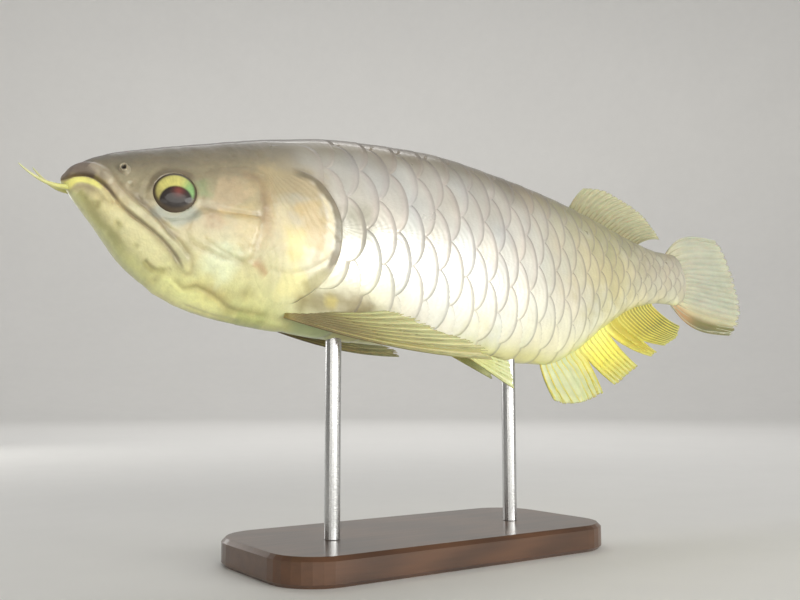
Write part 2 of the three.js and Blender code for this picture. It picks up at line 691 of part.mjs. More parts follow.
function joined(solids) {
  return solids.reduce((sum, solid) => sum.add(solid));
}
function without(solid, cutters) {
  return cutters.reduce((rest, cutter) => rest.subtract(cutter), solid);
}

const SIDES = [{ name: "left", sign: -1 }, { name: "right", sign: 1 }];
const gapShare = GAP / PCT;

// Outlines shared by neighbours, each with the gap between them on one side.
const jawOutline = [...GAPE, ...JAW_BACK, [12, -20], [-6, -20], [-6, 3.6]];
const gillOuter = smoothBody(15, 33, GILL_COVER_LIFT, 16, 28);
const gillInner = smoothBody(14, 34, -GILL_COVER_DEPTH, 10, 20);
const gillFloor = smoothBody(14, 34, -GILL_COVER_DEPTH - GAP, 10, 20);
const gillPrisms = SIDES.map(({ sign }) => {
  const across = sign < 0 ? [-FAR, -1] : [1, FAR];
  return {
    cover: sidePrism(GILL_COVER, across[0], across[1], 2),
    pocket: sidePrism(grownOutline(GILL_COVER, gapShare), across[0], across[1], 2),
  };
});
const gillPockets = gillPrisms.map(({ pocket }) => pocket.subtract(gillFloor));

// Fins, each with the clearance cut round its root.
const medianRows = [0, ROOT_ROW, 0.3, 0.65, 1];
const fins = {
  dorsal_fin: finSolid(medianSurface(DORSAL, backLine, 1), DORSAL.rays, medianRows, finThickness, 0),
  anal_fin: without(
    finSolid(medianSurface(ANAL, bellyLine, -1), ANAL.rays, medianRows, finThickness, 0),
    ANAL_SLITS.map((slit) => sidePrism(slit, -FAR, FAR, 0)),
  ),
  caudal_fin: finSolid(caudalSurface, CAUDAL.rays, [0, 0.1, 0.28, 0.52, 0.77, 1], caudalThickness, 0),
};
const rootCuts = [
  finSolid(medianSurface(DORSAL, backLine, 1), SOCKET_COLUMNS, [0, ROOT_ROW, 0.22], socketThickness, GAP),
  finSolid(medianSurface(ANAL, bellyLine, -1), SOCKET_COLUMNS, [0, ROOT_ROW, 0.22], socketThickness, GAP),
];
const pairedRows = [0, 0.08, 0.25, 0.45, 0.65, 0.84, 1];
for (const side of SIDES) {
  const pectoral = pectoralSurface(side);
  const pelvic = pelvicSurface(side);
  fins["pectoral_fin_" + side.name] = finSolid(pectoral, PECTORAL.rays, pairedRows, finThickness, 0);
  fins["pelvic_fin_" + side.name] = finSolid(pelvic, PELVIC.rays, pairedRows, finThickness, 0);
  rootCuts.push(finSolid(pectoral, PECTORAL.rays, pairedRows.slice(0, 5), socketThickness, GAP));
  rootCuts.push(finSolid(pelvic, 5, pairedRows.slice(0, 4), socketThickness, GAP));
}

// Head, lower jaw and gill covers.
const jawPrism = sidePrism(jawOutline, -FAR, FAR, 0);
const jawPocket = sidePrism(grownOutline(jawOutline, gapShare), -FAR, FAR, 0);
const headSkin = smoothBody(0, HEAD_END + 1, 0, 22, 24);
const raised = [
  raisedPlate(MAXILLA, 2, 14, MAXILLA_LIFT),
  raisedPlate(UPPER_LIP, 0, 6, LIP_LIFT),
  ...HEAD_PLATES.map((plate) => raisedPlate(plate, 11, HEAD_END, PLATE_LIFT)),
];
for (const { sign } of SIDES) {
  raised.push(eyeRim(sign));
  raised.push(nostrilTube(sign, NOSTRIL.radius, NOSTRIL.height, 2));
}
const head = without(joined([headSkin, ...raised]), [
  jawPocket,
  slab(HEAD_END - gapShare, HEAD_END + 10),
  ...SIDES.map(({ sign }) => eyeball(sign, GAP)),
  ...SIDES.map(({ sign }) => nostrilTube(sign, NOSTRIL.radius - NOSTRIL.wall, 3, 1.5)),
  ...gillPockets,
]);
const barbelRoots = SIDES.map((side) => barbelBar(side, GAP));
const jawSkin = smoothBody(0, 16, 0, 16, 24).add(raisedPlate(LOWER_LIP, 0, 6, LIP_LIFT));
const lowerJaw = without(jawSkin.intersect(jawPrism), barbelRoots);

addNode("head", posedGeometry(geometryFrom(head)), "head");
addNode("lower_jaw", posedGeometry(geometryFrom(lowerJaw)), "lower_jaw");
SIDES.forEach(({ name, sign }, i) => {
  const cover = gillOuter.intersect(gillPrisms[i].cover).subtract(gillInner);
  addNode("gill_cover_" + name, posedGeometry(geometryFrom(cover)), "gill_cover");
  addNode("eye_" + name, posedGeometry(geometryFrom(eyeball(sign, 0))), "eye", 0.1);
  addNode("barbel_" + name, posedGeometry(geometryFrom(barbelBar(SIDES[i], 0))), "barbel");
});

// Trunk and tail stock, cut across with thin gaps, with sockets for the fins and the rods.
const scaled = without(scaledBody(), [...rootCuts, ...gillPockets]);
const lengths = {
  trunk_front: [HEAD_END, TRUNK_SPLIT],
  trunk_rear: [TRUNK_SPLIT + gapShare, STOCK_START],
  tail_stock: [STOCK_START + gapShare, TAIL_BASE],
};
const rodSockets = rods.map((rod) => {
  return rodSolid(rod, ROD.radius + ROD.clearance, BASE.thickness, rod.top + GAP, ROD.sides / 2);
});
for (const [name, [from, to]] of Object.entries(lengths)) {
  const piece = posedGeometry(geometryFrom(scaled.intersect(slab(from, to))));
  addNode(name, geometryFrom(without(solidFrom(piece), rodSockets)), "trunk");
}
for (const [name, solid] of Object.entries(fins)) {
  addNode(name, posedGeometry(geometryFrom(solid)), "fin");
}

// Stand.
addNode("stand_base", geometryFrom(baseSolid()), "stand_wood");
["stand_rod_front", "stand_rod_rear"].forEach((name, i) => {
  const rod = rodSolid(rods[i], ROD.radius, BASE.thickness + GAP, rods[i].top, ROD.sides);
  addNode(name, geometryFrom(rod), "stand_metal", 0.25, 1);
});

export default model;
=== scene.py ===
import math
import bpy
import numpy as np
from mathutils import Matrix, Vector


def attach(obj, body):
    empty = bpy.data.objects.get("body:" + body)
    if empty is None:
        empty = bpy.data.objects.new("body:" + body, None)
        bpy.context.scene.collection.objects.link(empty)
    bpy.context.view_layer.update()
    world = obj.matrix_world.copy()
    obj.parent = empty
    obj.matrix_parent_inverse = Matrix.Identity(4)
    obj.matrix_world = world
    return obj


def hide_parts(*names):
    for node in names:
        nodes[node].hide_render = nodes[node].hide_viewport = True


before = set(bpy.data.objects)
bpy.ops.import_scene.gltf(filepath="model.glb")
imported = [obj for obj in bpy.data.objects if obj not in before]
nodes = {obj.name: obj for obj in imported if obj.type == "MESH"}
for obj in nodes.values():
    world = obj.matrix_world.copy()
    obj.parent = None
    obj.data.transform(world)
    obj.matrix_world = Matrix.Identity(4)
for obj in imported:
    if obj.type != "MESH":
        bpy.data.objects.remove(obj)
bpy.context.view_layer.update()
print("frame loaded:", len(nodes), "nodes")

# the body's shape, as in the part
percent = 0.0042  # one hundredth of the standard length, in metres
mm = 0.001

body = {
    "back": [(0, 5.4), (3, 7.1), (8, 8.3), (14, 9.4), (22, 11), (32, 12.5), (45, 13), (58, 11.8),
             (70, 10), (80, 7.8), (89, 5.7), (96, 4.8), (101, 4.9)],
    "belly": [(0, 3.6), (2.5, 0), (6, -5), (10, -8.2), (15, -10.3), (21, -11.4), (30, -12.5),
              (42, -13.1), (54, -14.2), (61, -14.7), (66, -14.8), (72, -12.9), (80, -8.6),
              (89, -4.9), (96, -3.9), (101, -4.1)],
    "halfWidth": [(0, 1), (3, 2.6), (7, 3.9), (12, 4.8), (18, 5.6), (26, 6.1), (36, 6.1), (48, 5.7),
                  (60, 4.8), (72, 3.6), (84, 2.4), (93, 1.6), (101, 1.1)],
    "backRoundness": 0.7,
    "bellyRoundness": 1.15,
}
pose = {
    "headTurn": -0.28, "headTurnEnd": 30,
    "tailTurn": 0.095, "tailTurnSpan": (35, 75),
    "still": 45, "bank": math.radians(-5.65), "height": 0.165,
}


def ease(value):
    t = np.clip(value, 0, 1)
    return t * t * (3 - 2 * t)


def mix(a, b, share):
    return a + (b - a) * share


def curveThrough(points):
    # a curve through the points that never overshoots them
    xs, ys = (np.array(column, float) for column in zip(*points))
    steps = np.diff(xs)
    slopes = np.diff(ys) / steps
    tangents = np.zeros(len(xs))
    tangents[0], tangents[-1] = slopes[0], slopes[-1]
    for i in range(1, len(xs) - 1):
        if slopes[i - 1] * slopes[i] > 0:
            before = 2 * steps[i] + steps[i - 1]
            after = steps[i] + 2 * steps[i - 1]
            tangents[i] = (before + after) / (before / slopes[i - 1] + after / slopes[i])

    def curve(x):
        x = np.asarray(x, float)
        i = np.clip(np.searchsorted(xs, x, side="left") - 1, 0, len(steps) - 1)
        t = np.clip((x - xs[i]) / steps[i], 0, 1)
        rise = ys[i + 1] - ys[i]
        a, b = tangents[i] * steps[i], tangents[i + 1] * steps[i]
        return ys[i] + a * t + (3 * rise - 2 * a - b) * t * t + (a + b - 2 * rise) * t ** 3
    return curve


backLine = curveThrough(body["back"])
bellyLine = curveThrough(body["belly"])
halfWidth = curveThrough(body["halfWidth"])

# share of the skin's length round one side, against the share of the half turn
stepDown = np.linspace(0, 1, 201)
stepMiddle = math.pi * (stepDown[1:] + stepDown[:-1]) / 2
stepShare = np.concatenate([[0], np.cumsum(np.hypot(0.5 * np.cos(stepMiddle), np.sin(stepMiddle)))])
stepShare /= stepShare[-1]


def skinPoint(x, down, side, grow):
    # station x, share down the side, side -1 left or 1 right, growth outward in metres
    angle = math.pi * down
    top, bottom = backLine(x), bellyLine(x)
    tall = (top - bottom) / 2 * percent
    wide = halfWidth(x) * percent
    roundness = mix(body["backRoundness"], body["bellyRoundness"], down)
    fullness = np.maximum(np.sin(angle), 0) ** roundness
    ny, nz = np.sin(angle) / wide, np.cos(angle) / tall
    size = np.hypot(ny, nz)
    return np.stack([
        x * percent + 0 * down,
        side * (wide * fullness + grow * ny / size),
        (top + bottom) / 2 * percent + tall * np.cos(angle) + grow * nz / size,
    ], -1)


def downAt(x, z):
    # share down the side at a station and a height
    top, bottom = backLine(x), bellyLine(x)
    return np.arccos(np.clip((2 * z - top - bottom) / (top - bottom), -1, 1)) / math.pi


def sidePoint(x, z, side, grow):
    return skinPoint(x, downAt(x, z), side, grow)


def heading(x):
    start, span = pose["tailTurnSpan"]
    turn = pose["headTurn"] * ease((pose["headTurnEnd"] - x) / pose["headTurnEnd"])
    return turn + pose["tailTurn"] * ease((x - start) / span)


spineAt = np.arange(-10, 130.01, 0.25)
spineTurn = heading((spineAt[1:] + spineAt[:-1]) / 2)
spineX = np.concatenate([[0], np.cumsum(np.cos(spineTurn))]) * 0.25
spineY = np.concatenate([[0], np.cumsum(np.sin(spineTurn))]) * 0.25
spineX -= np.interp(pose["still"], spineAt, spineX)
spineY -= np.interp(pose["still"], spineAt, spineY)


def posed(points):
    # from the straight body to the pose on the stand
    points = np.asarray(points, float)
    x, y, z = points[..., 0] / percent, points[..., 1], points[..., 2]
    turn = heading(x)
    outX = np.interp(x, spineAt, spineX) * percent - y * np.sin(turn)
    outY = np.interp(x, spineAt, spineY) * percent + y * np.cos(turn)
    c, s = math.cos(pose["bank"]), math.sin(pose["bank"])
    return np.stack([outX, outY * c - z * s, outY * s + z * c + pose["height"]], -1)


# lines, patches and grain in the side view
def smoothLine(points, closed=False, pieces=6):
    # the points joined by a rounded line
    p = np.array(points, float)
    count = len(p) if closed else len(p) - 1
    out = []
    for i in range(count):
        if closed:
            a, b, c, d = (p[(i + k) % len(p)] for k in (-1, 0, 1, 2))
        else:
            a, b, c, d = (p[min(max(i + k, 0), len(p) - 1)] for k in (-1, 0, 1, 2))
        for t in np.arange(pieces) / pieces:
            out.append(b + 0.5 * t * (c - a + t * (2 * a - 5 * b + 4 * c - d + t * (3 * (b - c) + d - a))))
    if not closed:
        out.append(p[-1])
    return np.array(out)


def lineDistance(x, z, line, closed=False):
    # distance to a line, and how far along it the nearest point lies
    best = np.full(x.shape, 1e9)
    along = np.zeros(x.shape)
    ends = np.roll(line, -1, 0) if closed else line[1:]
    for i, (a, b) in enumerate(zip(line, ends)):
        step = b - a
        t = np.clip(((x - a[0]) * step[0] + (z - a[1]) * step[1]) / max(step @ step, 1e-9), 0, 1)
        distance = np.hypot(x - a[0] - t * step[0], z - a[1] - t * step[1])
        closer = distance < best
        best = np.where(closer, distance, best)
        along = np.where(closer, (i + t) / len(ends), along)
    return best, along


def patchDistance(x, z, outline):
    # distance to a closed outline, less than 0 inside it
    distance, _ = lineDistance(x, z, outline, True)
    inside = np.zeros(x.shape, bool)
    for a, b in zip(outline, np.roll(outline, -1, 0)):
        crosses = (a[1] > z) != (b[1] > z)
        rise = b[1] - a[1] if b[1] != a[1] else 1e-9
        inside ^= crosses & (x < (b[0] - a[0]) * (z - a[1]) / rise + a[0])
    return np.where(inside, -distance, distance)


lattices = np.random.default_rng(8).uniform(-1, 1, (12, 64, 64))


def grain(x, z, size, layer):
    # smooth noise from about -1 to 1 with lumps of that size: two turned lattices, so that no grid shows
    lattice = lattices[layer]
    total = 0
    for turn, shift in ((0.6 + layer, 500), (2.1 + 1.7 * layer, 311)):
        c, s = math.cos(turn), math.sin(turn)
        u, v = (x * c - z * s) / size + shift, (x * s + z * c) / size + shift
        i, j = np.floor(u).astype(int), np.floor(v).astype(int)
        a, b = ease(u - i), ease(v - j)
        i, j = i % 64, j % 64
        k, l = (i + 1) % 64, (j + 1) % 64
        total = total + mix(mix(lattice[i, j], lattice[k, j], a), mix(lattice[i, l], lattice[k, l], a), b)
    return 0.75 * total


# landmarks of the head
gapeLine = smoothLine([(-1, 4.1), (0, 4.25), (1.3, 4.6), (2.8, 4.3), (4.2, 3.1), (5.4, 1.3), (6.7, -0.1),
                       (8.3, -1.5), (9.8, -3), (10.9, -4.4), (11.8, -5.9)])
grooveLine = smoothLine([(4.9, 3.9), (6.2, 2.3), (8, 0.6), (9.4, -0.9), (10.3, -2.1), (11.3, -3.1), (12.3, -4.7)])
maxilla = smoothLine([(3.9, 4.6), (5, 3.8), (6.3, 2.1), (8, 0.5), (9.5, -1), (10.9, -2.6), (12.2, -4.6),
                      (12.3, -6.1), (11.6, -5.7), (10.6, -4.1), (8.2, -1.5), (5.4, 1.3), (4.3, 3)], True)
upperLip = smoothLine([(-1, 4.3), (0, 4.5), (1.3, 4.8), (2.8, 4.5), (4.1, 3.4), (5, 3.9), (4.2, 5.2),
                       (2.6, 6.1), (0.8, 6.2), (-1, 6)], True)
lowerLip = smoothLine([(-1, 4), (0, 4.2), (1.3, 4.5), (2.8, 4.2), (4.1, 3.1), (5.2, 1.6), (4.4, 1.5),
                       (3.4, 2.6), (2.4, 3.3), (1.2, 3.5), (0, 3.1), (-1, 2.9)], True)
gillOutline = smoothLine([(20.6, 6.1), (23.6, 6.6), (25.8, 5.8), (27.4, 4.2), (28.6, 2.1), (29.1, 0),
                          (28.9, -2.8), (28.1, -5.2), (26.8, -6.9), (25, -8.4), (22.8, -9.6), (20.6, -9.3),
                          (18.9, -7.3), (18.5, -5.4), (19.5, -3.8), (20, -1.6), (20.2, 1.6), (20.3, 4.2)], True)
foldTop = [(10.6, -6.9), (11.2, -7.2), (12, -7.8), (13.3, -7.7), (14.4, -8.2), (15.6, -8.9), (16.9, -9.8),
           (19.6, -10.3), (22, -10.8)]
eye = {"x": 10.95, "z": 2.4, "radius": 10.6 * mm, "depth": 5.6 * mm, "proud": 2.9 * mm}
eyeRim = 8.5  # mm, the opening in the skin

# raised plates: outline, lift in mm, softness of the edge in hundredths
plates = [
    (maxilla, 0.75, 0.6),
    (upperLip, 0.7, 0.5),
    (lowerLip, 0.8, 0.5),
    (smoothLine([(13.9, 4.3), (16.6, 4.9), (19.2, 4.6), (19.6, 2.4), (19.3, 0.4), (16.5, 0.6),
                 (14.1, 1.1)], True), 0.45, 0.7),
    (smoothLine([(13.9, 0.5), (16.5, 0.1), (19.2, -0.1), (18.9, -2.6), (17.9, -4.8), (15.2, -4.2),
                 (12.7, -3), (12.3, -1.4)], True), 0.5, 0.7),
    (smoothLine([(12.6, -3.6), (15, -4.7), (17.6, -5.6), (17.9, -7.6), (15.6, -7.9), (13.4, -6.7)], True),
     0.35, 0.9),
    (smoothLine([(9.8, -6.6), *foldTop[1:], (24, -12), (20, -16), (12, -14), (8, -9)], True), 0.55, 0.7),
]
# grooves and folds: line, depth in mm, half width in hundredths
grooves = [
    (gapeLine, 1.1, 0.16),
    (grooveLine, 0.75, 0.2),
    (smoothLine([(7.1, 2.1), (8.8, 0.1), (10.4, -1.6), (11.6, -2.4)]), 0.3, 0.16),
    (smoothLine(foldTop), 0.5, 0.22),
    (smoothLine([(8.0, -4.7), (8.4, -5.3), (9.2, -5.9), (10.2, -5.9), (10.6, -5.7)]), 0.45, 0.2),
    (smoothLine([(18.7, 5.4), (20, 4.4), (20.05, 1.6), (19.8, -1.6), (19.3, -3.9), (18.4, -5.3)]), 0.42, 0.42),
    (smoothLine([(13.5, 0.8), (16.4, 0.35), (19.5, 0.15)]), 0.35, 0.16),
    (smoothLine([(13.6, -2.6), (15.4, -3.9), (17.9, -5.1)]), 0.4, 0.2),
    (smoothLine([(1.6, 2.2), (3.4, -0.2), (5.2, -2.7), (8, -5.9), (11.6, -8.2)]), 0.35, 0.5),
    (smoothLine([(14.2, 5.3), (16.5, 5.9), (19.5, 6.1)]), 0.3, 0.2),
    (smoothLine([(7.4, 5.6), (9.2, 6.4), (11.6, 6.5), (14, 5.8)]), 0.25, 0.2),
    (smoothLine([(12.2, -9.1), (15, -10.1), (18.6, -10.9)]), 0.35, 0.12),
    (smoothLine([(12.5, -9.6), (15, -10.35), (17.6, -11)]), 0.3, 0.1),
]
# single lumps and pits: x, z, lift in mm, radius in hundredths
lumps = [
    (10.6, -1.3, 0.35, 0.4), (3.3, 1.3, -0.45, 0.22), (5.3, -1.0, -0.45, 0.24), (2.1, 2.0, -0.3, 0.18),
    (7.2, -3.4, -0.35, 0.2), (9.2, -6.9, -0.35, 0.2), (6.35, 3.5, 0.5, 0.5), (6.6, 3.3, -0.9, 0.24),
    (14.4, -0.2, -0.25, 0.25), (14.4, -1.2, -0.25, 0.25), (18.3, -8.4, -0.3, 0.3), (4.6, 6.2, 0.35, 0.9),
    (20, 7.6, -0.25, 0.3), (17.2, 7.3, -0.25, 0.25), (14.4, 7.0, -0.25, 0.25), (11.5, 7.3, -0.2, 0.22),
    (8.8, 6.9, -0.2, 0.2),
]


def headRelief(x, z):
    # how far the skin stands out at a point of the side view, in metres, and how much painted shade falls in its
    # hollows
    rise = np.zeros(x.shape)
    hollowShade = np.zeros(x.shape)
    for outline, lift, soft in plates:
        outside = patchDistance(x, z, outline)
        rise += lift * ease(0.5 - outside / soft)
        hollowShade += 0.5 * lift * np.exp(-((outside - 0.45 * soft) / (0.5 * soft)) ** 2)
    for line, depth, width in grooves:
        distance, along = lineDistance(x, z, line)
        fade = ease(along * 8 + 0.1) * ease((1 - along) * 8 + 0.1)
        rise -= depth * np.exp(-(distance / width) ** 2) * fade
        hollowShade += 0.5 * depth * np.exp(-(distance / (1.5 * width)) ** 2) * fade
    for lumpX, lumpZ, lift, radius in lumps:
        lump = np.exp(-((x - lumpX) ** 2 + (z - lumpZ) ** 2) / radius ** 2)
        rise += lift * lump
        hollowShade -= 0.6 * lift * lump
    rho = np.hypot(x - eye["x"], z - eye["z"]) * percent / mm
    around = np.arctan2(z - eye["z"], x - eye["x"])
    lid = 0.75 + 0.25 * np.sin(around + 0.5)  # the brow is fuller than the lower lid
    rise += 0.5 * lid * np.exp(-((rho - eyeRim - 1.3) / 1.1) ** 2)
    rise -= 0.22 * lid * np.exp(-((rho - eyeRim - 3.6 - 0.5 * np.sin(2 * around)) / 0.9) ** 2)
    rise += 0.12 * np.exp(-((rho - eyeRim - 5.6) / 1.3) ** 2) * (1 + np.sin(3 * around))
    rise = np.where(rho < eyeRim + 0.4, mix(-3.6, rise, ease(rho - eyeRim + 0.6)), rise)
    live = ease((24 - x) / 3)
    rise += 0.16 * grain(x, z, 1.3, 0) * live + 0.08 * grain(x, z, 0.5, 1) * live
    hollowShade += 0.5 * np.exp(-((rho - eyeRim - 0.1) / 0.9) ** 2)
    return rise * mm * ease((x + 0.6) / 1.4), np.clip(hollowShade, 0, 1) * live


def withHollowShade(colour, hollowShade):
    # a colour with painted shade in the hollows
    return colour * (1 - hollowShade[:, None] * np.array(coat["hollowShade"]))


# colours
def shade(red, green, blue):
    # a colour as it is seen on a screen, turned into light
    c = np.array([red, green, blue], float) / 255
    return np.where(c <= 0.04045, c / 12.92, ((c + 0.055) / 1.055) ** 2.4)


coat = {
    # share down the side and colour, for the body and for the head; the darker back and the brighter belly are partly
    # the fish's own colour, partly painted shade and painted light
    "body": [(0, (88, 82, 66)), (0.1, (107, 99, 78)), (0.19, (141, 134, 114)), (0.3, (196, 193, 184)),
             (0.45, (219, 217, 208)), (0.62, (238, 236, 218)), (0.8, (242, 240, 202)), (0.92, (232, 234, 160)),
             (1, (222, 228, 150))],
    "head": [(0, (88, 83, 66)), (0.16, (100, 95, 77)), (0.26, (122, 114, 92)), (0.38, (156, 146, 116)),
             (0.52, (190, 178, 142)), (0.68, (212, 206, 152)), (0.84, (218, 218, 146)), (1, (216, 218, 140))],
    "headEnd": (19, 30),
    # how much red, green and blue the painted shade in the hollows takes away
    "hollowShade": (0.42, 0.5, 0.58),
    # where the silver sheen starts and is full
    "silver": (18, 32),
}
# painted marks in the side view, the fish's own colours and painted light and shade among them: half width, softness,
# strength, colour, how far the two ends fade, points
marksAndPaintedLight = [
    # lower jaw: lip, a stripe of painted shade inside the outline where the jaw turns under, a bright rim of painted
    # light glowing through the edge, pale centre, pores
    (0.42, 0.24, 1, (244, 238, 136), (0.01, 0.15), [(0.2, 3.6), (1.2, 4.2), (2.5, 4.05), (3.3, 3.6), (4.1, 2.9)]),
    (1.1, 1, 0.9, (222, 214, 160), (0.2, 0.2), [(2.6, 2.6), (4.3, 0.9), (6.6, -1.4), (8.8, -3.6), (10.4, -5.3)]),
    (0.3, 0.5, 0.6, (158, 156, 84), (0.01, 0.3), [(1.3, 2.6), (2.6, 0.9), (4.3, -1.5), (6.2, -4)]),
    (0.3, 0.4, 0.8, (222, 224, 160), (0.01, 0.15), [(0.6, 2.6), (2, 0.5), (3.7, -1.9), (6.1, -5.2), (10, -8.3),
     (15, -10.4)]),
    (0.22, 0.35, 0.45, (150, 146, 84), None, [(3.3, 1.3)]),
    (0.22, 0.35, 0.45, (158, 152, 82), None, [(5.3, -1), (5.6, -1.3)]),
    (0.2, 0.3, 0.35, (160, 156, 90), None, [(7.2, -3.4)]),
    (0.16, 0.26, 0.6, (150, 144, 72), (0.2, 0.2), [(8, -4.7), (8.4, -5.3), (9.2, -5.9), (10.2, -5.9)]),
    # upper jaw; the dark lines along the mouth's slit and along the groove above the maxilla are painted shade
    (0.62, 0.45, 0.9, (118, 104, 90), (0.01, 0.15), [(-0.6, 5.4), (1, 5.6), (2.6, 5.1), (3.4, 4.6)]),
    (0.24, 0.4, 0.6, (186, 174, 150), (0.01, 0.15), [(2.7, 5.9), (3.8, 4.9), (4.3, 3.6), (6.2, 1.7)]),
    (0.06, 0.16, 0.7, (92, 76, 56), (0.01, 0.15), [(-0.5, 4.35), (1.3, 4.72), (2.8, 4.4), (4.2, 3.1), (5.4, 1.3)]),
    (0.12, 0.24, 0.55, (128, 114, 84), (0.2, 0.2), [(5.4, 1.3), (6.7, -0.1), (8.3, -1.5), (9.8, -3), (10.9, -4.4),
     (11.8, -5.9)]),
    (0.32, 0.45, 0.65, (184, 178, 138), (0.2, 0.2), [(6.2, 1.5), (8.2, -0.5), (9.8, -2.2), (11.4, -4.2), (12,
     -5.4)]),
    (0.12, 0.28, 0.6, (128, 116, 90), (0.2, 0.2), [(6.6, 2.7), (8, 1.1), (9.4, -0.8), (10.3, -2), (11.2, -3)]),
    (0.2, 0.35, 0.5, (206, 204, 160), None, [(10.6, -1.4)]),
    # throat and the fold under the cheek
    (0.12, 0.3, 0.55, (160, 152, 86), (0.2, 0.2), [(11.1, -7.1), (12, -7.8), (13.3, -7.7), (14.4, -8.2), (15.6,
     -8.9), (16.9, -9.8), (20, -10.4)]),
    (0.4, 0.8, 0.45, (188, 174, 112), (0.2, 0.2), [(14, -7.7), (15.6, -8.6), (17, -9.5)]),
    (0.5, 0.8, 0.8, (240, 240, 166), (0.2, 0.2), [(8.4, -6.4), (10, -7.6), (13, -9.2), (16.6, -10.5)]),
    (0.5, 0.8, 0.6, (172, 180, 108), (0.2, 0.2), [(17.8, -10.4), (19.4, -10.9), (21.4, -11.2)]),
    (0.3, 0.7, 0.4, (178, 166, 100), None, [(18.3, -8.4)]),
    # round the eye; the dark arc along its top is painted shade under the brow
    (0.28, 0.45, 0.75, (98, 84, 58), (0.2, 0.2), [(8.55, 2.2), (8.85, 3.6), (9.75, 4.5), (10.95, 4.8), (12.15,
     4.5), (12.95, 3.7)]),
    (0.4, 0.8, 0.5, (126, 116, 88), (0.2, 0.2), [(8.1, 3.4), (8, 2.2), (8.5, 1)]),
    (0.3, 0.8, 0.55, (140, 162, 116), (0.2, 0.2), [(13.3, 4), (13.75, 3), (13.7, 1.9)]),
    (0.45, 0.6, 0.8, (142, 150, 138), (0.2, 0.2), [(8.6, 0.8), (9.6, -0.1), (10.95, -0.5), (12.3, -0.1), (13.2,
     0.8)]),
    # cheek, with a whitish-green painted highlight low on it
    (0.9, 1.8, 0.5, (198, 174, 140), (0.2, 0.2), [(14.8, 3), (16.6, 2.4), (17.6, 1.4)]),
    (0.1, 0.6, 0.4, (168, 126, 88), None, [(14.3, -0.2), (15.1, -0.35)]),
    (0.1, 0.6, 0.35, (172, 134, 98), None, [(14.2, -1.25), (15, -1.35)]),
    (0.1, 0.2, 0.6, (238, 212, 154), (0.2, 0.2), [(14.9, 0.55), (17, 0.2), (19.4, -0.1)]),
    (0.8, 1.5, 0.65, (196, 178, 128), (0.2, 0.2), [(17.4, 1.6), (18.2, -1.6), (18.6, -4)]),
    (0.5, 1.9, 0.7, (220, 228, 192), (0.4, 0.4), [(13.6, -3.8), (15.6, -5.2), (17.4, -6.2)]),
    (0.15, 0.6, 0.6, (176, 126, 86), (0.2, 0.2), [(18.8, -4.9), (19.7, -5.7), (20.4, -6.2)]),
    (0.2, 0.5, 0.55, (152, 128, 96), (0.2, 0.2), [(17.6, 5.2), (19.8, 4.2), (20.1, 1.6), (19.8, -1.2)]),
    # gill cover: tan above, cream and peach bands, a bright streak of painted highlight, the dark line along its rear
    # edge
    (1.2, 2, 0.8, (176, 158, 118), None, [(21.4, 4.6), (24.4, 4.4)]),
    (0.25, 0.6, 0.6, (182, 158, 116), (0.2, 0.2), [(20.5, 3.6), (20.6, 0.6), (20.3, -2.6)]),
    (0.35, 0.9, 0.7, (212, 200, 160), (0.2, 0.2), [(21.6, 2), (21.8, -1), (21.6, -4)]),
    (0.9, 1.5, 0.8, (200, 176, 124), (0.2, 0.2), [(24.6, 2.6), (25.4, -0.6), (25, -3.4)]),
    (0.4, 1.2, 0.7, (220, 204, 124), (0.5, 0.4), [(22.9, -0.4), (23.2, -3), (23.7, -5.2)]),
    (0.12, 0.4, 0.5, (180, 160, 110), (0.2, 0.2), [(25.8, 3.4), (26.6, 0.8), (26.3, -2.4), (25.2, -5)]),
    (0.2, 0.4, 0.6, (226, 214, 172), (0.2, 0.2), [(26.6, 3.4), (27.5, 0.8), (27.2, -2.6), (26.1, -5.2)]),
    (0.7, 1.4, 0.7, (232, 224, 158), (0.2, 0.2), [(21.4, -6.8), (23.6, -7.4), (25.2, -6.8)]),
    (0.32, 0.36, 0.92, (116, 106, 82), (0.12, 0.2), [(23.4, 6.2), (25.5, 5.35), (27, 3.8), (28.1, 2), (28.55, 0),
     (28.35, -2.6), (27.6, -4.8), (26.4, -6.4)]),
    (0.35, 0.7, 0.7, (168, 160, 108), (0.3, 0.3), [(24.4, -7.7), (26, -6.6), (27.3, -5)]),
    # behind the cover and along the belly; the grey band just behind the cover and the dark brown above the pectoral
    # fin's root are painted shade
    (1.1, 1.6, 0.8, (170, 168, 150), (0.4, 0.4), [(31, 3.4), (31.4, 0), (31, -3.6)]),
    (0.4, 1.4, 0.75, (136, 118, 62), (0.2, 0.2), [(23.8, -9.8), (26, -9), (29, -8.6), (32, -9.2), (35, -10.4)]),
    (0.2, 0.6, 0.6, (236, 216, 110), None, [(28.4, -8.7)]),
    (0.5, 0.7, 0.6, (186, 214, 160), (0.2, 0.2), [(24.6, -11), (27, -11.7), (30, -12.2)]),
    (0.5, 0.8, 0.6, (244, 240, 160), (0.2, 0.2), [(36, -12.4), (48, -13.4), (58, -14.2), (65, -14.6)]),
    # a broad painted highlight over the lower flank
    (3.2, 5, 0.75, (255, 254, 246), (0.3, 0.5), [(34, -8), (44, -6.4), (54, -5.4), (64, -5)]),
    (3, 7, 0.7, (198, 188, 108), (0.9, 0.4), [(60, 2), (70, 1), (80, 0), (92, 0)]),
    (1.2, 3.6, 0.55, (146, 148, 100), (0.6, 0.3), [(64, 8.5), (74, 7.4), (84, 5.4), (96, 3.6)]),
    (3, 5, 0.6, (184, 178, 142), None, [(92, 0), (102, 0)]),
]
marksAndPaintedLight = [(*row[:3], shade(*row[3]), row[4], smoothLine(row[5]) if len(row[5]) > 1 else np.array(row[5] * 2, float))
         for row in marksAndPaintedLight]


def ladder(stops, share):
    # colours between the stops
    at, colours = zip(*stops)
    lights = np.array([shade(*colour) for colour in colours])
    return np.stack([np.interp(share, at, lights[:, k]) for k in range(3)], -1)


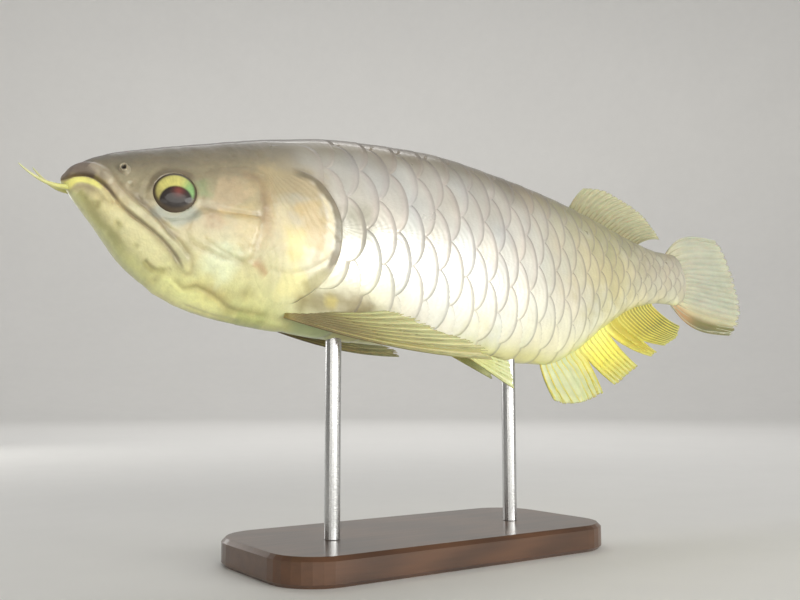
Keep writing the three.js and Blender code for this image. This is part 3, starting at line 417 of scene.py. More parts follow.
def paintAt(x, z):
    # the body's colour at points of the side view, with the painted light and shade among its marks
    down = downAt(x, z) + 0.02 * grain(x, z, 2.2, 2)
    start, end = coat["headEnd"]
    colour = mix(ladder(coat["head"], down), ladder(coat["body"], down), ease((x - start) / (end - start))[:, None])
    for reach, soft, strength, light, ends, path in marksAndPaintedLight:
        far = reach + 2 * soft
        (left, low), (right, high) = path.min(0) - far, path.max(0) + far
        near = (x > left) & (x < right) & (z > low) & (z < high)
        if not near.any():
            continue
        distance, along = lineDistance(x[near], z[near], path)
        distance += soft * (0.36 * grain(x[near], z[near], 1.3, 3) + 0.22 * grain(x[near], z[near], 0.45, 10))
        share = strength * np.exp(-1.6 * (np.maximum(distance - 0.8 * reach, 0) / soft) ** 2)
        if ends:
            share = share * ease(along / ends[0] + 0.15) * ease((1 - along) / ends[1] + 0.15)
        colour[near] = mix(colour[near], light, share[:, None])
    skinned = ease((24 - x) / 4)
    blotch = 1 + 0.05 * grain(x, z, 2.7, 4) + 0.04 * grain(x, z, 0.9, 5)
    blotch += skinned * (0.05 * grain(x, z, 0.42, 10) + 0.035 * grain(x, z, 0.2, 11))
    warm = 0.03 * grain(x, z, 3.1, 6)[:, None] * np.array([1, 0.2, -1])
    return np.clip(colour * (blotch[:, None] + warm), 0, 1)


# meshes and node trees
def newMesh(name, points, faces):
    mesh = bpy.data.meshes.new(name)
    mesh.from_pydata(np.asarray(points, float).tolist(), [], faces, shade_flat=False)
    mesh.validate()
    mesh.update()
    made = bpy.data.objects.new(name, mesh)
    bpy.context.scene.collection.objects.link(made)
    return made


def ringFaces(rings, turns, closed=True):
    # faces of a surface with a first point, rings of points and, if closed, a last point
    last = 1 + (rings - 1) * turns
    faces = []
    for r in range(turns):
        n = (r + 1) % turns
        faces.append((0, 1 + n, 1 + r))
        faces += [(a + r, a + n, a + turns + n, a + turns + r) for a in range(1, last, turns)]
        if closed:
            faces.append((last + r, last + n, last + turns))
    return faces


def mirrored(faces):
    return [face[::-1] for face in faces]


def turnedOver(faces):
    # the other way round from the same first corner, so that each face keeps its diagonal
    return [face[:1] + face[:0:-1] for face in faces]


def setTint(made, colour):
    layer = made.data.color_attributes.new("tint", "FLOAT_COLOR", "POINT")
    full = np.ones((len(made.data.vertices), 4), np.float32)
    full[:, :3] = np.clip(colour, 0, 1)
    layer.data.foreach_set("color", full.ravel())


def setVectors(made, **layers):
    for name, values in layers.items():
        layer = made.data.attributes.new(name, "FLOAT_VECTOR", "POINT")
        layer.data.foreach_set("vector", np.asarray(values, np.float32).ravel())


def setNumbers(made, **layers):
    for name, values in layers.items():
        layer = made.data.attributes.new(name, "FLOAT", "POINT")
        layer.data.foreach_set("value", np.asarray(values, np.float32).ravel())


def getVectors(made, name):
    values = np.zeros(len(made.data.vertices) * 3, np.float32)
    made.data.attributes[name].data.foreach_get("vector", values)
    return values.reshape(-1, 3).astype(float)


def setMap(made, name, cornerPlaces):
    layer = made.data.uv_layers.new(name=name)
    layer.data.foreach_set("uv", np.asarray(cornerPlaces, np.float32).ravel())


def cornerVertices(made):
    index = np.zeros(len(made.data.loops), np.int32)
    made.data.loops.foreach_get("vertex_index", index)
    return index


def finishPiece(made, name, material, replaced=()):
    made.name = name
    made.data.name = name
    if material is not None:
        made.data.materials.clear()
        made.data.materials.append(material)
    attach(made, "root")
    if replaced:
        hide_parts(*replaced)
    print("piece", name, len(made.data.polygons), "faces")


def plainCopy(made):
    # the evaluated object as a plain mesh; the source object goes
    graph = bpy.context.evaluated_depsgraph_get()
    mesh = bpy.data.meshes.new_from_object(made.evaluated_get(graph))
    made.modifiers.clear()
    plain = bpy.data.objects.new(made.name + ".plain", mesh)
    bpy.context.scene.collection.objects.link(plain)
    bpy.data.objects.remove(made)
    return plain


class Wire:
    # an output socket of a node tree: + - * / with wires and numbers add Math nodes
    def __init__(self, tree, socket):
        self.tree, self.socket = tree, socket

    def calc(self, operation, *others, clamp=False):
        return addNode(self.tree, "ShaderNodeMath", dict(enumerate((self, *others))), operation=operation,
                       use_clamp=clamp)

    def vector(self, operation, *others):
        places = (0, 3) if operation == "SCALE" else (0, 1)
        return addNode(self.tree, "ShaderNodeVectorMath", dict(zip(places, (self, *others))), operation=operation)

    def __add__(self, other):
        return self.calc("ADD", other)

    def __sub__(self, other):
        return self.calc("SUBTRACT", other)

    def __rsub__(self, other):
        return addNode(self.tree, "ShaderNodeMath", {0: other, 1: self}, operation="SUBTRACT")

    def __mul__(self, other):
        return self.calc("MULTIPLY", other)

    def __truediv__(self, other):
        return self.calc("DIVIDE", other)


def feed(socket, value):
    # links a socket, or sets it to a constant
    if isinstance(value, Wire):
        value.tree.links.new(value.socket, socket)
    else:
        socket.default_value = value


def addNode(tree, kind, inputs=None, out=0, **settings):
    made = tree.nodes.new(kind)
    for key, value in settings.items():
        setattr(made, key, value)
    for key, value in (inputs or {}).items():
        feed(made.inputs[key], value)
    return Wire(tree, made.outputs[out]) if out is not None else [Wire(tree, socket) for socket in made.outputs]


def combine(tree, *numbers):
    return addNode(tree, "ShaderNodeCombineXYZ", dict(enumerate(numbers)))


def split(vector):
    return addNode(vector.tree, "ShaderNodeSeparateXYZ", {0: vector}, out=None)


def newTree(kind, name, inputs, outputs, build):
    # sockets: name, kind, default; build takes the wires of the inputs and returns those of the outputs
    tree = bpy.data.node_groups.new(name, kind)
    for direction, rows in (("INPUT", inputs), ("OUTPUT", outputs)):
        for label, socket, *default in rows:
            item = tree.interface.new_socket(name=label, in_out=direction, socket_type="NodeSocket" + socket)
            if default:
                item.default_value = default[0]
    given, results = tree.nodes.new("NodeGroupInput"), tree.nodes.new("NodeGroupOutput")
    made = build(tree, *[Wire(tree, given.outputs[row[0]]) for row in inputs])
    for socket, value in zip(results.inputs, made):
        feed(socket, value)
    return tree


def attribute(tree, name, dataType="FLOAT_VECTOR"):
    return addNode(tree, "GeometryNodeInputNamedAttribute", {"Name": name}, "Attribute", data_type=dataType)


def store(geometry, name, value, dataType="FLOAT_VECTOR", domain="POINT"):
    return addNode(geometry.tree, "GeometryNodeStoreNamedAttribute",
                   {"Name": name, "Geometry": geometry, "Value": value}, data_type=dataType, domain=domain)


def guideSheet(source, mapName):
    # the mesh of a guide object, with its map as the attribute place
    sheet = addNode(source.tree, "GeometryNodeObjectInfo", {"Object": source}, "Geometry")
    return store(sheet, "place", attribute(source.tree, mapName), "FLOAT_VECTOR", "CORNER")


def sampleSheet(sheet, value, place):
    # a value of the guide sheet at a place on its map
    return addNode(sheet.tree, "GeometryNodeSampleUVSurface",
                   {"Mesh": sheet, "Value": value, "UV Map": attribute(sheet.tree, "place"), "Sample UV": place},
                   "Value", data_type="FLOAT_VECTOR")


def sheetDirection(sheet, name, place):
    return sampleSheet(sheet, attribute(sheet.tree, name), place).vector("NORMALIZE")


def spreadUnits(points, unit):
    spread = addNode(points.tree, "GeometryNodeInstanceOnPoints", {"Points": points, "Instance": unit})
    return addNode(points.tree, "GeometryNodeRealizeInstances", {"Geometry": spread})


def layOut(mesh, sheet, place, offset, material, layers):
    # points moved to their place on the sheet and away from it, then attributes, smooth shading and material
    tree = mesh.tree
    position = sampleSheet(sheet, addNode(tree, "GeometryNodeInputPosition"), place).vector("ADD", offset)
    mesh = addNode(tree, "GeometryNodeSetPosition", {"Geometry": mesh, "Position": position})
    for row in layers:
        mesh = store(mesh, *row)
    mesh = addNode(tree, "GeometryNodeSetShadeSmooth", {"Geometry": mesh})
    return addNode(tree, "GeometryNodeSetMaterial", {"Geometry": mesh, "Material": material})


def useTree(made, tree, values):
    modifier = made.modifiers.new(tree.name, "NODES")
    modifier.node_group = tree
    named = {item.name: item.identifier for item in tree.interface.items_tree if item.in_out == "INPUT"}
    for key, value in values.items():
        modifier[named[key]] = value


def objectPlace(tree):
    return addNode(tree, "ShaderNodeTexCoord", out="Object")


def noise(place, scale, **more):
    return addNode(place.tree, "ShaderNodeTexNoise", {"Vector": place, "Scale": scale, **more}, "Fac")


def blend(share, first, second):
    return addNode(share.tree, "ShaderNodeMix", {0: share, 6: first, 7: second}, 2, data_type="RGBA")


def mottleNodes(tree, colour, size, amount):
    place = objectPlace(tree)
    broad, fine = noise(place, size, Detail=5.0, Roughness=0.62), noise(place, size * 9.0, Detail=3.0)
    return [colour.vector("SCALE", (broad * 1.2 + fine * 0.8 - 1.0) * amount + 1.0)]


def poreNodes(tree, size):
    place = objectPlace(tree)
    cells = addNode(tree, "ShaderNodeTexVoronoi", {"Vector": place, "Scale": size}, "Distance", feature="SMOOTH_F1")
    return [cells * 0.6 + noise(place, size * 0.3, Detail=4.0)]


def ringNodes(tree, local, rings, rays):
    # growth rings and fine rays of a scale, from its own place attribute
    across, along, _ = split(local)
    centre = along - 0.45
    wobble = noise(local, 3.0, Detail=2.0)
    radius = (across * across * 0.36 + centre * centre).calc("SQRT") + wobble * 0.06
    turn = across.calc("ARCTAN2", centre + 0.001) + wobble * 0.1
    return [(radius * rings).calc("SINE") * 0.38 + (turn * rays).calc("SINE") * 0.14]


def sheenNodes(tree, amount):
    # the silvery coat: none on the head's skin, full on the flanks
    metallic = amount * 0.26
    return metallic, 0.32 - amount * 0.1 + noise(objectPlace(tree), 70.0, Detail=3.0) * 0.18


def striaeNodes(tree, place, count):
    # fine lines that fan out over a gill cover from its hinge
    x, y, _ = split(place)
    bend = noise(place, 5.0, Detail=4.0)
    turn = (x - 0.16).calc("ARCTAN2", 1.02 - y) + bend * 0.22
    return [(turn * count).calc("SINE") * 0.4 + bend]


def woodNodes(tree, dark, light):
    place = objectPlace(tree)
    fibres = noise(place.vector("MULTIPLY", (9.0, 160.0, 160.0)), 1.0, Detail=8.0, Roughness=0.6, Distortion=0.4)
    wave = addNode(tree, "ShaderNodeTexWave", {"Vector": place.vector("MULTIPLY", (3.0, 26.0, 40.0)), "Scale": 1.4,
                                               "Distortion": 7.0, "Detail": 3.0}, "Fac")
    return blend((fibres * 0.7).calc("ADD", wave * 0.35, clamp=True), dark, light), fibres


def brushedNodes(tree, size):
    lines = noise(objectPlace(tree).vector("MULTIPLY", (1.0, 1.0, 12.0)), size, Detail=3.0)
    return lines * 0.25 + 0.16, lines


def effect(name, inputs, outputs, build):
    return newTree("ShaderNodeTree", name, inputs, outputs, build)


mottle = effect("mottle", [("Colour", "Color", (1, 1, 1, 1)), ("Size", "Float", 60.0), ("Amount", "Float", 0.1)],
                [("Colour", "Color")], mottleNodes)
pores = effect("pores", [("Size", "Float", 900.0)], [("Height", "Float")], poreNodes)
growthRings = effect("growth rings", [("Local", "Vector", (0, 0, 0)), ("Rings", "Float", 54.0),
                                      ("Rays", "Float", 21.0)], [("Height", "Float")], ringNodes)
sheen = effect("silver sheen", [("Amount", "Float", 0.0)], [("Metallic", "Float"), ("Roughness", "Float")],
               sheenNodes)
striae = effect("bone striae", [("Place", "Vector", (0, 0, 0)), ("Count", "Float", 70.0)], [("Height", "Float")],
                striaeNodes)
woodGrain = effect("wood grain", [("Dark", "Color", (0.02, 0.01, 0.006, 1)), ("Light", "Color", (0.08, 0.04, 0.02, 1))],
                   [("Colour", "Color"), ("Height", "Float")], woodNodes)
brushed = effect("brushed metal", [("Size", "Float", 600.0)], [("Roughness", "Float"), ("Height", "Float")],
                 brushedNodes)


def newMaterial(name, build, **constants):
    # constants and the wires that build returns, each on the shader's socket of that name
    made = bpy.data.materials.new(name)
    made.use_nodes = True
    shader = made.node_tree.nodes["Principled BSDF"]
    for key, value in constants.items():
        shader.inputs[key.replace("_", " ")].default_value = value
    for key, value in build(made.node_tree).items():
        feed(shader.inputs[key], value)
    return made


def useEffect(tree, group, **inputs):
    return addNode(tree, "ShaderNodeGroup", inputs, None, node_tree=group)


def stored(tree, name, out="Fac"):
    return addNode(tree, "ShaderNodeAttribute", out=out, attribute_name=name)


def bump(height, strength, distance):
    return addNode(height.tree, "ShaderNodeBump", {"Height": height, "Strength": strength, "Distance": distance})


def mottled(tree, size, amount):
    return useEffect(tree, mottle, Colour=stored(tree, "tint", "Color"), Size=size, Amount=amount)[0]


def opaque(colour):
    return (*shade(*colour), 1)


pearl = {"colour": (224, 210, 208), "amount": 0.28, "blend": 0.35}
deepSkin = {"Subsurface_Weight": 0.06, "Subsurface_Scale": 0.004}


def wetCoat(tree, normal):
    # colour, sheen and pearl, the same on skin and scales so that they meet without a step
    away = addNode(tree, "ShaderNodeLayerWeight", {"Blend": pearl["blend"]}, "Facing")
    colour = blend(away * pearl["amount"], mottled(tree, 110.0, 0.18), opaque(pearl["colour"]))
    metallic, roughness = useEffect(tree, sheen, Amount=stored(tree, "silver"))
    return {"Base Color": colour, "Metallic": metallic, "Roughness": roughness, "Normal": normal}


def skinNodes(tree):
    return wetCoat(tree, bump(useEffect(tree, pores, Size=1100.0)[0], 0.35, 0.0004))


def gillNodes(tree):
    lines = useEffect(tree, striae, Place=addNode(tree, "ShaderNodeUVMap", uv_map="plateMap"))[0]
    return wetCoat(tree, bump(lines + useEffect(tree, pores, Size=1100.0)[0] * 0.8, 0.4, 0.0003))


def scaleNodes(tree):
    rings = useEffect(tree, growthRings, Local=stored(tree, "local", "Vector"))[0]
    fine = useEffect(tree, pores, Size=900.0)[0]
    return wetCoat(tree, bump(rings * stored(tree, "silver") + fine * 0.5, 0.35, 0.0002))


def makeFinMaterial(name, alpha):
    def finNodes(tree):
        grown = noise(stored(tree, "finPlace", "Vector"), 9.0, Detail=6.0)
        return {"Base Color": mottled(tree, 140.0, 0.25), "Alpha": 1.0 - stored(tree, "clear") * (1.0 - alpha),
                "Normal": bump(grown, 0.5, 0.0004)}
    return newMaterial(name, finNodes, Roughness=0.4, Coat_Weight=0.3, Coat_Roughness=0.2, Subsurface_Weight=0.15,
                       Subsurface_Scale=0.003)


def eyeNodes(tree):
    return {"Base Color": mottled(tree, 420.0, 0.35)}


def standWood(tree):
    colour, height = useEffect(tree, woodGrain, Dark=opaque((46, 30, 22)), Light=opaque((104, 70, 46)))
    return {"Base Color": colour, "Normal": bump(height, 0.3, 0.0003)}


def standMetal(tree):
    roughness, height = useEffect(tree, brushed)
    return {"Roughness": roughness, "Normal": bump(height, 0.15, 0.0001)}


skinMaterial = newMaterial("wet skin", skinNodes, Coat_Weight=0.45, Coat_Roughness=0.16, **deepSkin)
gillMaterial = newMaterial("gill cover", gillNodes, Coat_Weight=0.4, Coat_Roughness=0.24, **deepSkin)
scaleMaterial = newMaterial("scales", scaleNodes, Coat_Weight=0.5, Coat_Roughness=0.14)
eyeMaterial = newMaterial("eye", eyeNodes, Roughness=0.5, IOR=1.36, Coat_Weight=0.4, Coat_Roughness=0.08)
woodMaterial = newMaterial("dark wood", standWood, Roughness=0.32, Coat_Weight=0.35, Coat_Roughness=0.2)
metalMaterial = newMaterial("brushed steel", standMetal, Metallic=1.0, Base_Color=(0.6, 0.6, 0.6, 1))
print("materials made")

# the skin
skin = {
    "rowsPerSide": 132, "gapeRow": 0.55, "gapeCrowd": 0.6, "gapeCrowdReach": 0.07,
    "noseFrom": -0.36, "noseRound": 0.8, "noseReach": 1.2, "noseSteps": 12,
    "headStep": 0.105, "headEnd": 24.5, "bodyStep": 1.05, "bodyEnd": 97.4,
    "tailReach": 6.4, "tailSteps": 16, "tailTurn": 0.97,
    "relaxed": (12.2, 19), "sunk": 0.35, "sunkFrom": 21, "tailLobe": 0.35,
}
# mapStart and mapSpan: where the skin's map begins and how long it is, in lengths of the coat
scales = {
    "columns": 44, "rows": 16, "start": 20.4, "end": 103, "taper": 0.24, "mapStart": 0.35, "mapSpan": 1.45,
    "length": 3.3, "halfWidth": 1.06, "margin": 0.36, "tilt": 1.05, "thickness": 0.25, "twist": 0.11,
    "across": 19, "along": 10, "seed": 5, "lastRoot": 38.6, "tailLobe": 1.9, "pocket": 1.3,
    # colour: chance from scale to scale, darker rim and pocket, tint of the upper rims
    "chance": 0.12, "rimDark": 0.11, "pocketDark": 0.07, "rosy": (1.02, 0.94, 0.96),
}
bakeMap = {"columns": 50.0, "rows": 17.0, "patch": 0.003}


def latticeX(t):
    return mix(scales["start"], scales["end"], t + scales["taper"] * t * (1 - t))


def latticeT(x):
    s = (x - scales["start"]) / (scales["end"] - scales["start"])
    k = scales["taper"]
    return ((1 + k) - np.sqrt(np.maximum((1 + k) ** 2 - 4 * k * s, 0.01))) / (2 * k)


def rowShares():
    # row places down a side, closer together along the mouth's slit
    fine = np.linspace(0, 1, 2001)
    gap = 1 - skin["gapeCrowd"] * np.exp(-((fine - skin["gapeRow"]) / skin["gapeCrowdReach"]) ** 2)
    total = np.concatenate([[0], np.cumsum(1 / ((gap[1:] + gap[:-1]) / 2))])
    return np.interp(np.linspace(0, 1, skin["rowsPerSide"] + 1), total / total[-1], fine)


gapeX = gapeLine[:, 0]
gapeDown = downAt(np.maximum(gapeX, 0.02), gapeLine[:, 1])


def rowDown(x, share):
    # share of the half turn for a row, bent so that one row follows the slit
    plain = np.interp(share, stepShare, stepDown)
    base = np.interp(skin["gapeRow"], stepShare, stepDown)
    start, end = skin["relaxed"]
    target = mix(np.interp(x, gapeX, gapeDown), base, ease((x - start) / (end - start)))
    return np.where(plain < base, plain * target / base, 1 - (1 - plain) * (1 - target) / (1 - base))


def heightAt(x, down):
    return mix(backLine(x), bellyLine(x), (1 - np.cos(math.pi * down)) / 2)


def silverAt(x):
    # how silvery the coat is along the body
    start, end = coat["silver"]
    return ease((x - start) / (end - start))


def skinStations():
    # nose, head, trunk and the turns of the tail's wedge, with the wedge's turn at each
    nose, head, end = skin["noseRound"], skin["headEnd"], skin["bodyEnd"]
    quarter = np.cos(np.linspace(0, math.pi / 2, skin["noseSteps"])[:-1])
    turn = np.linspace(0, skin["tailTurn"], skin["tailSteps"] + 1)[1:] * math.pi / 2
    stations = np.concatenate([
        skin["noseFrom"] + (nose - skin["noseFrom"]) * (1 - quarter),
        np.linspace(nose, head, round((head - nose) / skin["headStep"]) + 1),
        np.linspace(head, end, round((end - head) / skin["bodyStep"]) + 1)[1:],
        end + 0 * turn])
    return stations, np.concatenate([np.zeros(len(stations) - len(turn)), turn])


def skinFaces(count, side):
    # rings of faces, then the slit-wide faces that close nose and tail
    ring = 2 * side
    faces = [(c * ring + r, c * ring + (r + 1) % ring, (c + 1) * ring + (r + 1) % ring, (c + 1) * ring + r)
             for c in range(count - 1) for r in range(ring)]
    for r in range(side):
        for start, flip in ((0, False), ((count - 1) * ring, True)):
            corners = [start + r, start + (ring - r) % ring, start + ring - r - 1, start + r + 1]
            if r == 0:
                corners.pop(1)
            if r + 1 == side:
                corners.pop(2)
            faces.append(tuple(corners[::-1] if flip else corners))
    return faces


def skinMap(made, x, placeShare, count, ring):
    # the map runs round at the back's seam, and the closing faces lie beside it
    corner = cornerVertices(made)
    u = ((latticeT(x) + scales["mapStart"]) / scales["mapSpan"])[corner]
    v = np.tile(placeShare, count)[corner]
    totals = np.zeros(len(made.data.polygons), np.int32)
    made.data.polygons.foreach_get("loop_total", totals)
    polygonOf = np.repeat(np.arange(len(totals)), totals)
    top = np.zeros(len(totals))
    np.maximum.at(top, polygonOf, v)
    v = np.where((v < 0.02) & (top[polygonOf] > 0.9), v + 1, v)
    u = np.where(polygonOf >= (count - 1) * ring, u - 3, u)
    setMap(made, "skinMap", np.stack([u, v], -1))


def buildSkin():
    side = skin["rowsPerSide"]
    ring = 2 * side
    shares = rowShares()
    row = np.concatenate([shares, shares[-2:0:-1]])
    stations, turn = skinStations()
    count = len(stations)
    x, share = np.repeat(stations[:, None], ring, 1), np.repeat(row[None, :], count, 0)
    onLeft = np.arange(ring) <= side
    down = rowDown(x, share)
    height = heightAt(x, down)
    rise, hollowShade = headRelief(x, height)
    grow = rise * ease((skin["headEnd"] - x) / 2) - skin["sunk"] * mm * ease((x - skin["sunkFrom"]) / 5)
    points = skinPoint(np.maximum(x, 0), down, np.where(onLeft, -1.0, 1.0)[None, :] + 0 * x, grow)
    points[..., 0] = x * percent
    # the nose closes in a quarter ellipse
    shrink = np.sqrt(np.clip(1 - ((skin["noseRound"] - x) / skin["noseReach"]) ** 2, 0, 1))
    shrink = np.where(x < skin["noseRound"], shrink, 1)
    centre = (backLine(0) + bellyLine(0)) / 2 * percent
    points[..., 1] *= shrink
    points[..., 2] = centre + (points[..., 2] - centre) * shrink
    # the tail end closes in a rounded wedge over the fin's root
    lobe = 1 - skin["tailLobe"] * np.cos(math.pi * down) ** 2
    points[..., 0] += skin["tailReach"] * np.sin(turn)[:, None] * lobe * percent
    points[..., 1] *= np.cos(turn)[:, None]
    flat = points.reshape(-1, 3)
    made = newMesh("skinDraft", posed(flat), skinFaces(count, side))
    along = flat[:, 0] / percent
    skinMap(made, along, np.where(onLeft, row / 2, 1 - row / 2), count, ring)
    normals = np.zeros(len(flat) * 3, np.float32)
    made.data.vertex_normals.foreach_get("vector", normals)
    setVectors(made, outward=normals)
    setTint(made, withHollowShade(paintAt(along, height.ravel()), hollowShade.ravel()))
    setNumbers(made, silver=silverAt(along))
    return made


skinPiece = buildSkin()
print("skin", len(skinPiece.data.vertices), "points")


# scales
def coatNodes(tree, roots, source, length, halfWidth, margin, tilt, thickness, twist, across, along, seed, material):
    sheet = guideSheet(source, "skinMap")
    # one scale: its outline runs through the rows of a flat box
    scale = addNode(tree, "GeometryNodeMeshCube", {"Vertices X": across, "Vertices Y": along, "Vertices Z": 2})
    x, y, z = split(addNode(tree, "GeometryNodeInputPosition"))
    side = (x * math.pi).calc("SINE")
    row = (y + 0.5).calc("POWER", 0.85)
    arc = (1.0 - side * side).calc("MAXIMUM", 0.0).calc("SQRT")
    root = (1.0 - arc) * 0.24
    scale = store(scale, "local", combine(tree, side, root + row * (1.0 - margin * (1.0 - arc) - root), z + 0.5))
    scale = store(scale, "row", row, "FLOAT")
    chance = addNode(tree, "FunctionNodeRandomValue", {"Seed": seed}, 1, data_type="FLOAT")
    coatMesh = spreadUnits(store(roots, "chance", chance, "FLOAT"), scale)
    side, out, top = split(attribute(tree, "local"))
    rootU, rootV, size = split(attribute(tree, "root"))
    luck, row = attribute(tree, "chance", "FLOAT"), attribute(tree, "row", "FLOAT")
    u = rootU + out * length
    v = rootV + (luck - 0.5) * (out * 0.16) + side * halfWidth
    t = u / float(scales["columns"])
    place = combine(tree, (t + scales["mapStart"]) / scales["mapSpan"],
                    (v / float(scales["rows"])).calc("FRACT"), 0.0)
    # height over the skin: tilt, thickness with a round rim, root sunk in its pocket, twist
    tilted = tilt * out * (luck * 0.06 + 0.97)
    thick = thickness * top * (1.0 - row.calc("POWER", 14.0) * 0.55)
    pocket = (1.0 - out * 3.0).calc("MAXIMUM", 0.0).calc("POWER", 1.5) * (-scales["pocket"] * mm)
    twisted = side * twist * (out * 3.0).calc("MINIMUM", 1.0)
    offset = sheetDirection(sheet, "outward", place).vector("SCALE", (tilted + thick + (pocket + twisted)) * size)
    # a patch of its own on a map for baking
    patch = combine(tree, (rootU + 2.0) / bakeMap["columns"] + out * bakeMap["patch"],
                    (rootV + 0.5) / bakeMap["rows"] + side * (bakeMap["patch"] / 2), 0.0)
    return [layOut(coatMesh, sheet, place, offset, material, [
        ("spot", combine(tree, u, v, luck)), ("OFBake", patch, "FLOAT2", "CORNER")])]


def scaleRoots(left):
    # lattice places of one side's scales, with each one's size
    found = []
    half = scales["rows"] // 2
    for u in range(-1, scales["columns"] - 1):
        for v in range(scales["rows"]):
            onLeft = 0 <= v < half if v != half else u % 4 == 0
            if (u + v) % 2 or onLeft != left:
                continue
            t = u / scales["columns"]
            x = float(latticeX(t))
            share = 2 * v / scales["rows"]
            down = float(np.interp(share if share <= 1 else 2 - share, stepShare, stepDown))
            start = np.interp(down, [0, 0.25, 0.5, 0.8, 1], [18.4, 19.8, 21.4, 22, 22.6])
            if x < start or u > scales["lastRoot"] + scales["tailLobe"] * math.sin(math.pi * down):
                continue
            size = mix(0.55, 1, math.sin(math.pi * down)) * (1 - 0.42 * t) * mix(0.5, 1, float(ease((x - 18) / 9)))
            found.append((u, v, size))
    return np.array(found, float)


def buildScales(name, left):
    roots = scaleRoots(left)
    made = newMesh(name + "Draft", roots * np.array([1e-4, 1e-4, 0]), [])
    setVectors(made, root=roots)
    useTree(made, scaleTree, {
        "Skin": skinPiece, "Length": scales["length"], "Half width": scales["halfWidth"],
        "Margin": scales["margin"], "Tilt": scales["tilt"] * mm, "Thickness": scales["thickness"] * mm,
        "Twist": scales["twist"] * mm,
        "Across": scales["across"], "Along": scales["along"], "Seed": scales["seed"] + int(left),
        "Material": scaleMaterial,
    })
    plain = plainCopy(made)
    spot, local = getVectors(plain, "spot"), getVectors(plain, "local")
    x = latticeX(spot[:, 0] / scales["columns"])
    ring = (spot[:, 1] / scales["rows"]) % 1
    down = np.interp(np.where(ring <= 0.5, 2 * ring, 2 - 2 * ring), stepShare, stepDown)
    silver = silverAt(x)
    # paler or darker by chance, darker at the rim and in the pocket, a little rosy along the upper rims
    reach = 1 - scales["margin"] * (1 - np.sqrt(np.maximum(1 - local[:, 0] ** 2, 0)))
    edge = np.clip(local[:, 1] / np.maximum(reach, 0.01), 0, 1)
    rim = ease((edge - 0.84) / 0.12) * (1 - 0.6 * ease((edge - 0.96) / 0.04))
    pocket = 1 - ease((edge - 0.35) / 0.5)
    shadeShare = 1 + scales["chance"] * (spot[:, 2] - 0.5)
    shadeShare = shadeShare * (1 - scales["rimDark"] * rim) * (1 - scales["pocketDark"] * pocket)
    colour = paintAt(x, heightAt(x, down)) * mix(1, shadeShare, silver)[:, None]
    colour = mix(colour, colour * np.array(scales["rosy"]), (silver * rim * ease((0.75 - down) / 0.3))[:, None])
    luck = (spot[:, 2] * 7.3) % 1 - 0.5
    setTint(plain, colour * (1 + (luck * silver)[:, None] * np.array([0.05, 0.0, -0.05])))
    setNumbers(plain, silver=silver)
    finishPiece(plain, name, None)


scaleTree = newTree("GeometryNodeTree", "scale coat", [
    ("Geometry", "Geometry"), ("Skin", "Object"), ("Length", "Float", 3.3), ("Half width", "Float", 1.05),
    ("Margin", "Float", 0.36), ("Tilt", "Float", 0.0013), ("Thickness", "Float", 0.0003), ("Twist", "Float", 0.0001),
    ("Across", "Int", 19), ("Along", "Int", 10), ("Seed", "Int", 0), ("Material", "Material"),
], [("Geometry", "Geometry")], coatNodes)
buildScales("scalesLeft", True)
buildScales("scalesRight", False)
finishPiece(skinPiece, "fishSkin", skinMaterial,
            ("head", "lower_jaw", "trunk_front", "trunk_rear", "tail_stock"))

# gill covers
gill = {
    "centre": (23.9, -1.4), "rings": 34, "turns": 200, "depth": 2.2,
    # lift in mm at the middle, the free edge and the hinge side, and the width of the edges' rounding
    "middle": 1.3, "lift": 1.9, "low": 1.0, "hinge": 0.3, "freeEdge": 0.34, "hingeEdge": 2.4,
    # depth of the seam in mm and its half width in hundredths
    "seam": (0.3, 0.22),
}
gillSeam = smoothLine([(20.6, -5.6), (22.6, -6), (25, -5.4), (27.2, -4.2)])
sides = {"left": -1.0, "right": 1.0}


def gillLift(x, z, share, reach, angles, rear):
    # lift in mm over the skin; rear is 1 towards the tail and 0 towards the cheek
    outer = ease((share - 0.25) / 0.7)
    lift = mix(gill["middle"], mix(gill["hinge"], gill["lift"], rear), outer)
    lift = mix(lift, gill["low"], ease((-np.sin(angles) - 0.3) / 0.5) * rear * outer)
    edge = (1 - share) * reach  # distance inside the outline, in hundredths
    free = np.clip(edge / gill["freeEdge"], 0, 1)
    free = lift * (0.85 * np.sqrt(free * (2 - free)) + 0.15 * (edge > 0.001))
    hinge = lift * ease(edge / gill["hingeEdge"]) - 0.4 * (1 - ease(edge / 0.6))
    groove, _ = lineDistance(x, z, gillSeam)
    deep, wide = gill["seam"]
    rise, _ = headRelief(x, z)  # near the hinge the cover follows the skin
    return (mix(hinge, free, rear) + 0.1 * grain(x, z, 1.6, 7) - deep * np.exp(-(groove / wide) ** 2)
            + rise / mm * ease((22 - x) / 1.5) * (1 - rear))


